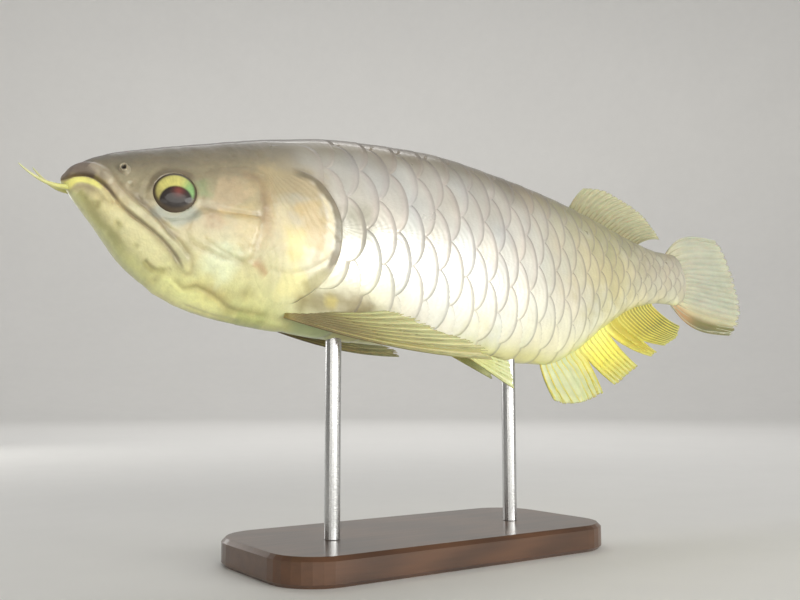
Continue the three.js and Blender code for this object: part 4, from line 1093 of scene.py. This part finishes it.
def buildGillCover(word, side):
    cx, cz = gill["centre"]
    angles = np.linspace(0, 2 * math.pi, gill["turns"], endpoint=False)
    dx, dz = (gillOutline - gill["centre"]).T
    outlineAngle = np.arctan2(dz, dx) % (2 * math.pi)
    order = np.argsort(outlineAngle)
    reach = np.interp(angles, outlineAngle[order], np.hypot(dx, dz)[order], period=2 * math.pi)
    rear = ease((np.cos(angles) + 0.25) / 0.7)
    # the outer face's rings from the middle outwards, then the rim and the hidden back
    rows = [((k / gill["rings"]) ** 0.85, None) for k in range(1, gill["rings"] + 1)]
    rows += [(0.985, -0.5), (0.9, -1.2), (0.5, -gill["depth"])]
    xs, zs, lifts = [[cx]], [[cz]], [[gill["middle"]]]
    for share, low in rows:
        xs.append(cx + reach * share * np.cos(angles))
        zs.append(cz + reach * share * np.sin(angles))
        lifts.append(gillLift(xs[-1], zs[-1], share, reach, angles, rear) if low is None else 0 * angles + low)
    x, z = np.concatenate([*xs, [cx]]), np.concatenate([*zs, [cz]])
    grow = np.concatenate([*lifts, [-gill["depth"]]]) * mm
    faces = ringFaces(len(rows), gill["turns"])
    made = newMesh("gillDraft", posed(sidePoint(x, z, side, grow)), faces if side < 0 else mirrored(faces))
    seamAway, _ = lineDistance(x, z, gillSeam)
    _, hollowShade = headRelief(x, z)
    # painted shade along the seam, and in the hollows near the hinge
    hollowShade = np.clip(0.22 * np.exp(-(seamAway / 0.3) ** 2) + hollowShade * ease((22 - x) / 2), 0, 1)
    setTint(made, withHollowShade(paintAt(x, z), hollowShade))
    setNumbers(made, silver=silverAt(x) * 0.25)
    corner = cornerVertices(made)
    setMap(made, "plateMap", np.stack([(x[corner] - 17) / 14, (z[corner] + 12) / 20], -1))
    finishPiece(made, "gillPlate." + word, gillMaterial, ("gill_cover_" + word,))


# eyes
eyeLook = {
    "gaze": (0.018, -0.47), "pupil": 0.64,
    "colours": {"pupil": (40, 33, 30), "paintedGlint": (132, 62, 54), "top": (206, 198, 118), "rear": (134, 172, 112),
                "low": (86, 70, 54), "front": (146, 132, 86), "ring": (76, 64, 48)},
    "rings": 56, "turns": 96,
}


def unit(v):
    return v / np.maximum(np.linalg.norm(v, axis=-1, keepdims=True), 1e-12)


def halfWidthAt(x, z):
    return abs(float(sidePoint(np.array(x, float), np.array(z, float), 1.0, 0.0)[1]))


def eyeColour(across, up):
    # pupil with a painted red glint, iris with a lighter top and a green rear, fine fibres and a dark ring
    look = {key: shade(*colour) for key, colour in eyeLook["colours"].items()}
    gx, gz = eyeLook["gaze"]
    radius, angle = np.hypot(across - gx, up - gz), np.arctan2(up - gz, across - gx)
    high, rear = np.sin(angle), np.cos(angle)
    iris = mix(look["low"], look["top"], ease((high + 0.15) / 0.7)[:, None])
    iris = mix(iris, look["rear"], (ease((rear - 0.15) / 0.6) * ease((high + 0.7) / 0.6))[:, None])
    iris = mix(iris, look["front"], (ease((-rear - 0.5) / 0.5) * 0.6)[:, None])
    fibres = 1 + 0.05 * np.sin(angle * 46 + 3 * np.sin(angle * 7)) * ease((radius - eyeLook["pupil"]) / 0.2)
    fibres += 0.07 * grain(across * 9, up * 9, 1, 9)
    # a painted reflection: the red glint in the pupil
    paintedGlint = np.exp(-((across - 0.14) ** 2 + (up + 0.04) ** 2) / 0.045)
    dark = mix(look["pupil"], look["paintedGlint"], 0.7 * paintedGlint[:, None])
    colour = mix(dark, iris * fibres[:, None], ease((radius - eyeLook["pupil"] + 0.03) / 0.1)[:, None])
    return mix(colour, look["ring"], ease((np.hypot(across, up) - 0.68) / 0.14)[:, None])


def buildEye(word, side):
    x, z, depth = eye["x"], eye["z"], eye["depth"]
    # the eye looks straight out of the skin round it
    step = 2.0
    slopeX = (halfWidthAt(x + step, z) - halfWidthAt(x - step, z)) / (2 * step * percent)
    slopeZ = (halfWidthAt(x, z + step) - halfWidthAt(x, z - step)) / (2 * step * percent)
    outward = unit(np.array([-slopeX, side, -slopeZ]))
    ahead = unit(np.array([-1.0, 0, 0]) + outward * outward[0])
    up = np.cross(ahead, outward)
    up = up if up[2] > 0 else -up
    centre = np.array([x * percent, side * halfWidthAt(x, z), z * percent]) + outward * (eye["proud"] - depth)
    rings, turns = eyeLook["rings"], eyeLook["turns"]
    polar = np.repeat(math.pi * np.arange(1, rings) / rings, turns)
    turn = np.tile(2 * math.pi * np.arange(turns) / turns, rings - 1)
    across, high, bulge = np.sin(polar) * np.cos(turn), np.sin(polar) * np.sin(turn), np.cos(polar)
    points = centre + eye["radius"] * (np.outer(-across, ahead) + np.outer(high, up)) + np.outer(depth * bulge, outward)
    points = np.concatenate([[centre + outward * depth], points, [centre - outward * depth]])
    hidden = 2 * np.stack([np.cos(turn), np.sin(turn)], -1)
    local = np.where(bulge[:, None] > 0, np.stack([across, high], -1), hidden)
    local = np.concatenate([[(0, 0)], local, [(2, 0)]])
    faces = turnedOver(ringFaces(rings - 1, turns))
    made = newMesh("eyeDraft", posed(points), faces if side < 0 else mirrored(faces))
    setTint(made, eyeColour(*local.T))
    setMap(made, "eyeMap", local[cornerVertices(made)] * 0.24 + 0.5)
    finishPiece(made, "eyeball." + word, eyeMaterial, ("eye_" + word,))


for word, side in sides.items():
    buildGillCover(word, side)
for word, side in sides.items():
    buildEye(word, side)


# barbels and nostrils
def tubeMesh(name, path, radii, turns):
    # a closed tube along a path of points
    tangent = unit(np.gradient(path, axis=0))
    normal = unit(np.cross(tangent[0], [0.1, 0.3, 1.0]))
    a = np.linspace(0, 2 * math.pi, turns, endpoint=False)[:, None]
    rings = []
    for point, direction, radius in zip(path, tangent, radii):
        normal = unit(normal - direction * (normal @ direction))
        rings.append(point + radius * (np.cos(a) * normal + np.sin(a) * np.cross(direction, normal)))
    return newMesh(name, np.concatenate([[path[0]], *rings, [path[-1]]]), ringFaces(len(path), turns))


barbel = {"x": 0.6, "z": 3.6, "y": 0.75, "root": 1.5, "tip": 0.35, "steps": 56, "turns": 20,
          "reach": {"left": (-5.1, -0.9, 2.1), "right": (-3.9, 1.2, 2.9)}, "sag": 0.7,
          "rootColour": (204, 202, 112), "tipColour": (210, 210, 158)}


def buildBarbel(word, side):
    t = np.linspace(-0.12, 1, barbel["steps"])
    share = np.clip(t, 0, 1)
    path = np.array([barbel["x"], side * barbel["y"], barbel["z"]]) + np.outer(t, barbel["reach"][word])
    path[:, 2] -= barbel["sag"] * 4 * t * (1 - t) * (t > 0)
    radii = mix(barbel["root"], barbel["tip"], share ** 0.75) * mm
    radii = radii * (1 + 0.05 * np.sin(t * 95)) * np.sqrt(np.clip((1.0 - t) / 0.04 + 0.05, 0, 1))
    made = tubeMesh("barbelDraft", posed(path * percent), radii, barbel["turns"])
    share = np.concatenate([[0], np.repeat(share, barbel["turns"]), [1]])
    setTint(made, mix(shade(*barbel["rootColour"]), shade(*barbel["tipColour"]), share[:, None]))
    finishPiece(made, "feeler." + word, skinMaterial, ("barbel_" + word,))


# profile: radius and height of each ring in mm, from the skin over the rim down into the pit
nostril = {
    "x": 6.1, "z": 5.0, "turns": 40, "colour": (152, 142, 116), "pit": (40, 34, 28), "lean": (-0.35, 0.25),
    "profile": [(3, -1.2), (2.6, -0.1), (2.1, 0.4), (1.85, 1.1), (1.8, 1.7), (1.62, 2.0), (1.36, 2.05),
                (1.12, 1.8), (1, 1.2), (0.92, 0.4), (0.8, -0.4), (0.4, -0.8)],
    "under": -1.8, "bottom": -0.9,
}


def buildNostrils():
    # a flared tube of skin round a dark pit, on each side of the snout
    turns, rings = nostril["turns"], len(nostril["profile"])
    radius, height = np.repeat(nostril["profile"], turns, 0).T
    a = np.tile(2 * math.pi * np.arange(turns) / turns, rings)
    leanX, leanZ = (share * np.maximum(height, 0) for share in nostril["lean"])
    # the inner rings go over to the pit's colour: painted shade deeper in the nostril
    depth = np.repeat(ease((np.arange(rings) - 6.5) / 2.0), turns)[:, None]
    colour = mix(shade(*nostril["colour"]), shade(*nostril["pit"]), np.concatenate([[[1]], depth, [[1]]]))
    rise = np.concatenate([[nostril["under"]], height, [nostril["bottom"]]]) * mm
    points, faces = [], []
    for side in sides.values():
        wide = radius * (1 + 0.06 * np.sin(3 * a + side))
        x = np.concatenate([[0], wide * np.cos(a) + leanX, [0]]) * mm / percent + nostril["x"]
        z = np.concatenate([[0], wide * np.sin(a) * 1.12 + leanZ, [0]]) * mm / percent + nostril["z"]
        local = ringFaces(rings, turns)
        start = len(points) * len(x)
        faces += [tuple(start + k for k in face) for face in (local if side < 0 else mirrored(local))]
        points.append(sidePoint(x, z, side, rise))
    made = newMesh("nostrilDraft", posed(np.concatenate(points)), faces)
    setTint(made, np.concatenate([colour, colour]))
    finishPiece(made, "nostrils", skinMaterial)


for word, side in sides.items():
    buildBarbel(word, side)
buildNostrils()


# fins: each surface gives the point at s across the fin, from 0 to 1, and t from root to margin
def medianFin(spec):
    lean, length = curveThrough(spec["lean"]), curveThrough(spec["length"])

    def surface(s, t):
        x = mix(spec["from"], spec["to"], s)
        reach = length(s) * percent * t
        curl = np.radians(lean(s)) - 0.22 * t
        sunk = 3.4 * mm * np.maximum(1 - t / 0.06, 0)
        line = (backLine if spec["up"] > 0 else bellyLine)(x)
        z = line * percent + spec["up"] * (reach * np.sin(curl) - sunk)
        sway = spec["sway"] * mm * t * t * np.sin(s * 7 + spec["phase"])
        return np.stack([x * percent + reach * np.cos(curl), sway + 0 * x, z], -1)
    return surface


def caudalFin(spec):
    middle = (backLine(100) + bellyLine(100)) / 2

    def surface(s, t):
        height = mix(1.0, -1.0, s)
        reach = (spec["length"] + spec["overlap"]) * mix(1, spec["edgeShort"], np.abs(height) ** spec["roundness"])
        x = (spec["root"] + reach * t) * percent
        spread = spec["spread"] * mix(t, 1 - (1 - t) ** 4, height ** 2)
        sway = spec["sway"] * mm * np.maximum(t, 0) ** 1.5 * np.sin(height * 2.6 + 0.6)
        return np.stack([x, sway + 0 * x, (middle + (spec["halfHeight"] + spread) * height) * percent], -1)
    return surface


def pairedFin(spec, word):
    first, last, axis = (unit(np.array(v, float)) for v in (spec["first"][word], spec["last"], spec["rootAxis"]))
    length = curveThrough(spec["length"])
    # made for the left side, then set to its own
    rootY = -(halfWidthAt(spec["x"], spec["z"]) - spec["rootSunk"] * mm)
    root = np.array([spec["x"] * percent, rootY, spec["z"] * percent])

    def surface(s, t):
        direction = unit(mix(first, last, (s ** 0.8)[..., None]))
        reach = length(s) * percent
        at = root + axis * (spec["rootWidth"] * percent * (s - 0.5))[..., None] + direction * (reach * t)[..., None]
        at[..., 2] += spec["curl"] * t * t * reach + spec["wave"] * mm * t * t * np.sin(s * 9)
        at[..., 1] *= -sides[word]
        return at
    return surface


fins = {
    "dorsal": {
        "from": 74.2, "to": 90.6, "up": 1, "rays": 20, "sway": 1.2, "phase": 1,
        "lean": [(0, 56), (0.3, 42), (1, 27)],
        "length": [(0, 6.2), (0.2, 9.4), (0.5, 10), (0.8, 9.2), (1, 7.6)],
        "colours": [(0, (150, 146, 112)), (0.5, (180, 177, 142)), (1, (204, 200, 164))],
        "ray": (140, 132, 98), "alpha": 0.72, "steps": (150, 40),
    },
    "anal": {
        "from": 65.2, "to": 92.6, "up": -1, "rays": 44, "sway": 1.6, "phase": 0,
        "lean": [(0, 78), (0.05, 62), (0.14, 47), (0.4, 37), (0.6, 36), (0.85, 37), (1, 33)],
        "length": [(0, 5.7), (0.05, 7.5), (0.14, 9.4), (0.38, 11), (0.6, 11.5), (0.85, 11.2), (1, 9)],
        "colours": [(0, (236, 230, 130)), (0.3, (236, 224, 92)), (0.75, (214, 202, 88)), (1, (204, 198, 122))],
        "ray": (204, 190, 92), "alpha": 0.9, "steps": (60, 44),
        # where each slit ends, how far out it starts, and its two corners at the margin
        "slits": [(0.303, 0.2, 0.188, 0.268), (0.528, 0.1, 0.446, 0.562), (0.655, 0.58, 0.615, 0.712)],
    },
    "caudal": {
        "rays": 17, "root": 98.6, "overlap": 1.4, "length": 21.6, "halfHeight": 4.3, "spread": 4.5,
        "edgeShort": 0.74, "roundness": 2.6, "sway": 2.5,
        "colours": [(0, (200, 196, 166)), (0.4, (190, 191, 170)), (0.8, (194, 196, 174)), (1, (206, 205, 180))],
        "ray": (160, 154, 122), "alpha": 0.72, "steps": (150, 60),
    },
    "pectoral": {
        "x": 23.3, "z": -9.9, "rays": 9, "rootWidth": 1.6, "rootSunk": 2.2, "rootAxis": (0.5, 0.55, 1),
        "curl": 0.14, "wave": 1.2,
        "first": {"left": (25.2, -7.6, -9.4), "right": (25.2, -7.4, -6)}, "last": (12.5, -3.4, -2.4),
        "length": [(0, 27.2), (0.35, 0.82 * 27.2), (1, 12)],
        # the dark olive near the root is partly the fin's own colour, partly painted shade
        "colours": [(0, (214, 192, 104)), (0.1, (124, 110, 60)), (0.3, (124, 114, 68)), (0.55, (178, 172, 112)),
                    (1, (208, 206, 150))],
        "ray": (104, 90, 50), "alpha": 0.86, "steps": (70, 90),
    },
    "pelvic": {
        "x": 49.6, "z": -13.1, "rays": 6, "rootWidth": 1.5, "rootSunk": 2.2, "rootAxis": (1, 0.3, 0.1),
        "curl": 0.03, "wave": 0.6,
        "first": {"left": (8.6, -2.2, -6.4), "right": (9, -1, -3.8)}, "last": (8, -1.3, -2.4),
        "length": [(0, 10), (0.35, 8.9), (1, 7.4)],
        "colours": [(0, (226, 222, 140)), (0.6, (214, 216, 150)), (1, (226, 226, 176))],
        "ray": (176, 170, 96), "alpha": 0.82, "steps": (44, 44),
    },
}
# radii in mm, places and spread of the forks, faces of a twig, and how closely the rays are jointed
rayShape = {"root": 0.72, "tip": 0.28, "forks": (0.46, 0.72), "spread": (0.17, 0.12), "steps": 14, "turns": 8,
            "segments": 90.0}
guideEnd = 1.02  # the guide sheet runs a little past the margin


def panelEdges(spec):
    # the fin's panels between its slits: functions of t for both side edges
    edges = [lambda t: 0 * t]
    for apex, start, *corners in spec.get("slits", []):
        for margin in corners:
            edges.append(lambda t, apex=apex, start=start, margin=margin:
                         apex + (margin - apex) * np.clip((t - start) / (1 - start), 0, 1) ** 1.1)
    edges.append(lambda t: 1 + 0 * t)
    return list(zip(edges[::2], edges[1::2]))


def rayCount(spec, near, far, t):
    return max(3, round(spec["rays"] * float(far(np.array(t)) - near(np.array(t)))))


def sheetAlong(panel, q, count):
    return (panel + 0.02 + 0.96 * q) / count


def gridFaces(wide, tall, start):
    corners = [start + i * (tall + 1) + j for i in range(wide) for j in range(tall)]
    return [(a, a + tall + 1, a + tall + 2, a + 1) for a in corners]


def filmFaces(wide, tall, start):
    # two layers, and the faces round their rim
    step, size = tall + 1, (wide + 1) * (tall + 1)
    rim = [i * step for i in range(wide)] + [wide * step + j for j in range(tall)]
    rim += [i * step + tall for i in range(wide, 0, -1)] + list(range(tall, 0, -1))
    around = [(start + a, start + a + size, start + b + size, start + b) for a, b in zip(rim, rim[1:] + rim[:1])]
    return gridFaces(wide, tall, start) + turnedOver(gridFaces(wide, tall, start + size)) + around


def carried(at, direction):
    # a direction on the straight body, turned with the pose
    return (posed(at + direction * mm) - posed(at)).reshape(-1, 3) / mm


def finSheets(spec, surface, rng):
    # the guide sheet with its directions, and the membrane's two layers, for all panels together
    panels = panelEdges(spec)
    wide, tall = spec["steps"]
    size = (wide + 1) * (tall + 1)
    small = 1e-3
    rows, film, filmPlace, faces, layers = [], [], [], [], []
    q, t = np.meshgrid(np.linspace(0, 1, wide + 1), np.linspace(0, guideEnd, tall + 1), indexing="ij")
    for p, (near, far) in enumerate(panels):
        s = np.clip(mix(near(t), far(t), q), 0, 1)
        at = surface(s, t)
        acrossS = surface(np.clip(s + small, 0, 1), t) - surface(np.clip(s - small, 0, 1), t)
        along = surface(s, t + small) - surface(s, t - small)
        normal = unit(np.cross(acrossS, along))
        uv = np.stack([sheetAlong(p, q, len(panels)), t], -1)
        rows.append((posed(at).reshape(-1, 3), carried(at, normal), carried(at, unit(np.cross(along, normal))),
                     uv.reshape(-1, 2)))
        faces += gridFaces(wide, tall, p * size)
        # the membrane is thinner and scalloped towards the margin, and rippled between the rays
        count = rayCount(spec, near, far, 1.0)
        wave = np.cos(2 * math.pi * q * (count - 1))
        ragged = np.interp(q[:, 0], np.linspace(0, 1, 2 * count + 1), rng.uniform(0, 1, 2 * count + 1))[:, None]
        tFilm = t / guideEnd * (0.985 - 0.012 * (1 - wave) - 0.02 * ragged)
        sFilm = np.clip(mix(near(tFilm), far(tFilm), q), 0, 1)
        ripple = 0.35 * mm * wave * np.clip(tFilm * 3, 0, 1)
        half = mix(0.85, 0.3, np.clip(tFilm, 0, 1) ** 0.6) * mm / 2
        for sign in (1, -1):
            film.append(posed(surface(sFilm, tFilm) + normal * (sign * half + ripple)[..., None]).reshape(-1, 3))
            filmPlace.append(np.stack([sFilm, tFilm, wave], -1).reshape(-1, 3))
        layers += filmFaces(wide, tall, 2 * p * size)
    points, outward, sideways, uv = (np.concatenate(column) for column in zip(*rows))
    guide = newMesh("guideSheet", points, faces)
    setMap(guide, "sheetMap", uv[cornerVertices(guide)])
    setVectors(guide, outward=outward, sideways=sideways)
    return guide, (np.concatenate(film), layers), np.concatenate(filmPlace)


def rayTwigs(spec, rng):
    # both ends of each twig: place on the sheet and radius; a ray forks twice
    panels = panelEdges(spec)
    fromEnd, toEnd = [], []
    (fork1, fork2), (spread1, spread2) = rayShape["forks"], rayShape["spread"]
    r0, r1 = rayShape["root"], rayShape["tip"]
    for p, (near, far) in enumerate(panels):
        rays = rayCount(spec, near, far, 0.9)
        pitch = 1 / (rays - 1)
        for r in range(rays):
            q0 = np.clip(r * pitch, 0.012, 0.988)
            last = 0.97 + 0.03 * rng.uniform()
            jitter = 0.03 * rng.uniform(-1, 1)
            rows = [(q0, 0.0, q0, fork1 + jitter + 0.02, r0, mix(r0, r1, 0.45))]
            for first in (-1, 1):
                q1 = np.clip(q0 + first * pitch * spread1, 0.01, 0.99)
                rows.append((q0, fork1 + jitter, q1, fork2 + jitter + 0.02, mix(r0, r1, 0.5), mix(r0, r1, 0.75)))
                for second in (-1, 1):
                    q2 = np.clip(q1 + second * pitch * spread2, 0.008, 0.992)
                    rows.append((q1, fork2 + jitter, q2, last, mix(r0, r1, 0.78), r1))
            for a, ta, b, tb, ra, rb in rows:
                fromEnd.append((sheetAlong(p, a, len(panels)), ta, ra * mm))
                toEnd.append((sheetAlong(p, b, len(panels)), tb, rb * mm))
    return fromEnd, toEnd


def finMarks(key, s, t, colour):
    # marks over the membrane's colour: their own colour and strength
    over = {
        "anal": [
            ((190, 198, 160), 0.9 * (1 - ease((s - 0.15) / 0.2))),
            ((206, 208, 150), 0.6 * ease((t - 0.45) / 0.45) * (1 - ease((s - 0.5) / 0.1))),
            ((180, 166, 62), 0.85 * ease((s - 0.53) / 0.06)),
            ((114, 114, 62), ease((s - 0.62) / 0.2) * (0.6 + 0.35 * ease((t - 0.2) / 0.5))),
            ((252, 246, 120), 0.6 * np.exp(-((s - 0.42) / 0.08) ** 2) * (1 - 0.7 * t))],
        "caudal": [
            ((214, 200, 140), 0.6 * ease((s - 0.74) / 0.2)),
            ((112, 110, 58), 0.92 * ease((s - 0.885) / 0.06)),
            ((222, 168, 128), 0.6 * ease((s - 0.84) / 0.1) * ease((0.45 - t) / 0.35))],
        "pectoral": [((172, 162, 98), 0.65 * (1 - ease((s - 0.05) / 0.16)))],
    }
    for paint, share in over.get(key, []):
        colour = mix(colour, shade(*paint), share[:, None])
    blotch = 1 + 0.08 * grain(s * 30, t * 14, 1.7, 8) + 0.06 * grain(s * 60, t * 9, 1.0, 9)
    return colour * blotch[:, None]


def buildFin(key, name, surface, replaced):
    # a membrane and its rays, on one guide sheet
    spec = fins[key]
    rng = np.random.default_rng(len(key) * 7 + spec["rays"])
    guide, layers, where = finSheets(spec, surface, rng)
    fromEnd, toEnd = rayTwigs(spec, rng)
    rays = newMesh(name + "RaysDraft", np.outer(np.arange(len(fromEnd)), (1e-4, 0, 0)), [])
    setVectors(rays, fromEnd=fromEnd, toEnd=toEnd)
    material = makeFinMaterial(name + " fin", spec["alpha"])
    useTree(rays, rayTree, {"Sheet": guide, "Steps": rayShape["steps"], "Turns": rayShape["turns"],
                            "Material": material})
    plain = plainCopy(rays)
    bpy.data.objects.remove(guide)
    t = getVectors(plain, "finPlace")[:, 1]
    joint = 0.96 + 0.04 * np.sign(np.sin(t * rayShape["segments"]))
    share = 0.25 + 0.45 * np.clip(t, 0, 1)
    setTint(plain, mix(shade(*spec["ray"]), ladder(spec["colours"], t), share[:, None]) * joint[:, None])
    setNumbers(plain, clear=0 * t)
    film = newMesh(name + "Draft", *layers)
    s, t, wave = where.T
    setTint(film, finMarks(key, s, t, ladder(spec["colours"], t)))
    setVectors(film, finPlace=where * np.array([1, 1, 0]))
    setNumbers(film, clear=ease(t * 2.2) * (0.75 - 0.25 * wave))
    setMap(film, "finMap", where[cornerVertices(film), :2])
    finishPiece(film, name + "Membrane", material, replaced)
    finishPiece(plain, name + "Rays", material)


def rayNodes(tree, twigs, source, steps, turns, material):
    sheet = guideSheet(source, "sheetMap")
    rod = addNode(tree, "GeometryNodeMeshCylinder", {"Vertices": turns, "Side Segments": steps, "Radius": 1.0,
                                                     "Depth": 1.0})
    x, y, z = split(addNode(tree, "GeometryNodeInputPosition"))
    mesh = spreadUnits(twigs, store(rod, "local", combine(tree, x, y, z + 0.5)))
    across, out, along = split(attribute(tree, "local"))
    smooth = along * along * (3.0 - along * 2.0)
    ends = zip(split(attribute(tree, "fromEnd")), split(attribute(tree, "toEnd")), (smooth, along, along))
    u, v, radius = (start + (end - start) * share for start, end, share in ends)
    place = combine(tree, u, v, 0.0)
    offset = sheetDirection(sheet, "sideways", place).vector("SCALE", across * radius).vector(
        "ADD", sheetDirection(sheet, "outward", place).vector("SCALE", out * radius))
    return [layOut(mesh, sheet, place, offset, material, [("finPlace", place)])]


rayTree = newTree("GeometryNodeTree", "fin rays", [
    ("Geometry", "Geometry"), ("Sheet", "Object"), ("Steps", "Int", 14), ("Turns", "Int", 8),
    ("Material", "Material")], [("Geometry", "Geometry")], rayNodes)
for key, makeSurface in (("dorsal", medianFin), ("anal", medianFin), ("caudal", caudalFin)):
    buildFin(key, key, makeSurface(fins[key]), (key + "_fin",))
for key in ("pectoral", "pelvic"):
    for word in sides:
        buildFin(key, key + "." + word, pairedFin(fins[key], word), (key + "_fin_" + word,))

# stand
for name, material in (("stand_base", woodMaterial), ("stand_rod_front", metalMaterial),
                       ("stand_rod_rear", metalMaterial)):
    nodes[name].data.materials.clear()
    nodes[name].data.materials.append(material)

# floor, light and camera
studio = {
    "floorColour": (232, 230, 226), "flat": 2.6, "bend": 1.2, "bendSteps": 16, "wallTop": 3.4, "turns": 96,
    "sky": (236, 240, 246), "skyStrength": 0.22,
    "camera": (-0.293, -0.397, 0.086), "turn": (math.radians(95.9), 0, math.radians(-35.1)), "lens": 40.5,
}


def floorNodes(tree):
    return {"Base Color": useEffect(tree, mottle, Colour=opaque(studio["floorColour"]), Size=3.0, Amount=0.05)[0]}


def buildStage():
    # a round floor that bends up into a wall on all sides
    flat, bend, turns = studio["flat"], studio["bend"], studio["turns"]
    a = np.linspace(0, math.pi / 2, studio["bendSteps"] + 1)[1:]
    radii = np.concatenate([[0.5, flat / 2, flat], flat + bend * np.sin(a), [flat + bend]])
    ups = np.concatenate([[0, 0, 0], bend * (1 - np.cos(a)), [studio["wallTop"]]])
    circle = np.tile(np.linspace(0, 2 * math.pi, turns, endpoint=False), len(radii))
    wide = np.repeat(radii, turns)
    points = np.stack([wide * np.cos(circle), wide * np.sin(circle), np.repeat(ups, turns)], -1)
    made = newMesh("floor", np.concatenate([[(0, 0, 0)], points]), turnedOver(ringFaces(len(radii), turns, False)))
    made.data.materials.append(newMaterial("floor", floorNodes, Roughness=0.6))


lamps = [
    # name, place, aim, width, height, power, colour
    ("key", (-0.55, -1.6, 0.55), (0.0, 0.0, 0.15), 1.8, 1.0, 16, (1.0, 0.99, 0.95)),
    ("low", (0.5, -1.2, 0.3), (0.1, 0.0, 0.13), 0.9, 0.5, 9, (1.0, 1.0, 0.96)),
    ("top", (0.3, 0.5, 1.5), (0.05, 0.0, 0.16), 1.4, 1.0, 2.4, (0.95, 0.98, 1.0)),
    ("face", (-1.2, -0.8, 0.12), (-0.12, 0.0, 0.15), 0.7, 0.4, 1.3, (1.0, 0.98, 0.92)),
    ("far", (-0.35, 1.1, 0.3), (0.0, 0.0, 0.16), 0.5, 0.4, 1.5, (1.0, 1.0, 0.97)),
    ("backdrop", (0.5, 0.9, 1.9), (1.6, 2.3, 0.5), 2.0, 1.0, 30, (1.0, 1.0, 1.0)),
]


def buildLamps():
    for name, place, aim, width, height, power, colour in lamps:
        light = bpy.data.lights.new(name, "AREA")
        light.shape = "ELLIPSE"
        light.size, light.size_y = width, height
        light.energy = power
        light.color = colour
        lamp = bpy.data.objects.new(name, light)
        lamp.location = place
        lamp.rotation_euler = (Vector(aim) - Vector(place)).to_track_quat("-Z", "Y").to_euler()
        bpy.context.scene.collection.objects.link(lamp)
    world = bpy.data.worlds.new("studio")
    world.use_nodes = True
    background = world.node_tree.nodes["Background"]
    background.inputs["Color"].default_value = (*shade(*studio["sky"]), 1)
    background.inputs["Strength"].default_value = studio["skyStrength"]
    bpy.context.scene.world = world


def buildCamera():
    camera = bpy.data.cameras.new("camera")
    camera.lens = studio["lens"]
    camera.sensor_width = 36
    camera.clip_start, camera.clip_end = 0.02, 50
    seen = bpy.data.objects.new("camera", camera)
    seen.location = studio["camera"]
    seen.rotation_euler = studio["turn"]
    bpy.context.scene.collection.objects.link(seen)
    bpy.context.scene.camera = seen


buildStage()
buildLamps()
buildCamera()
bpy.context.scene.view_settings.view_transform = "Standard"
print("stage, lights and camera made")
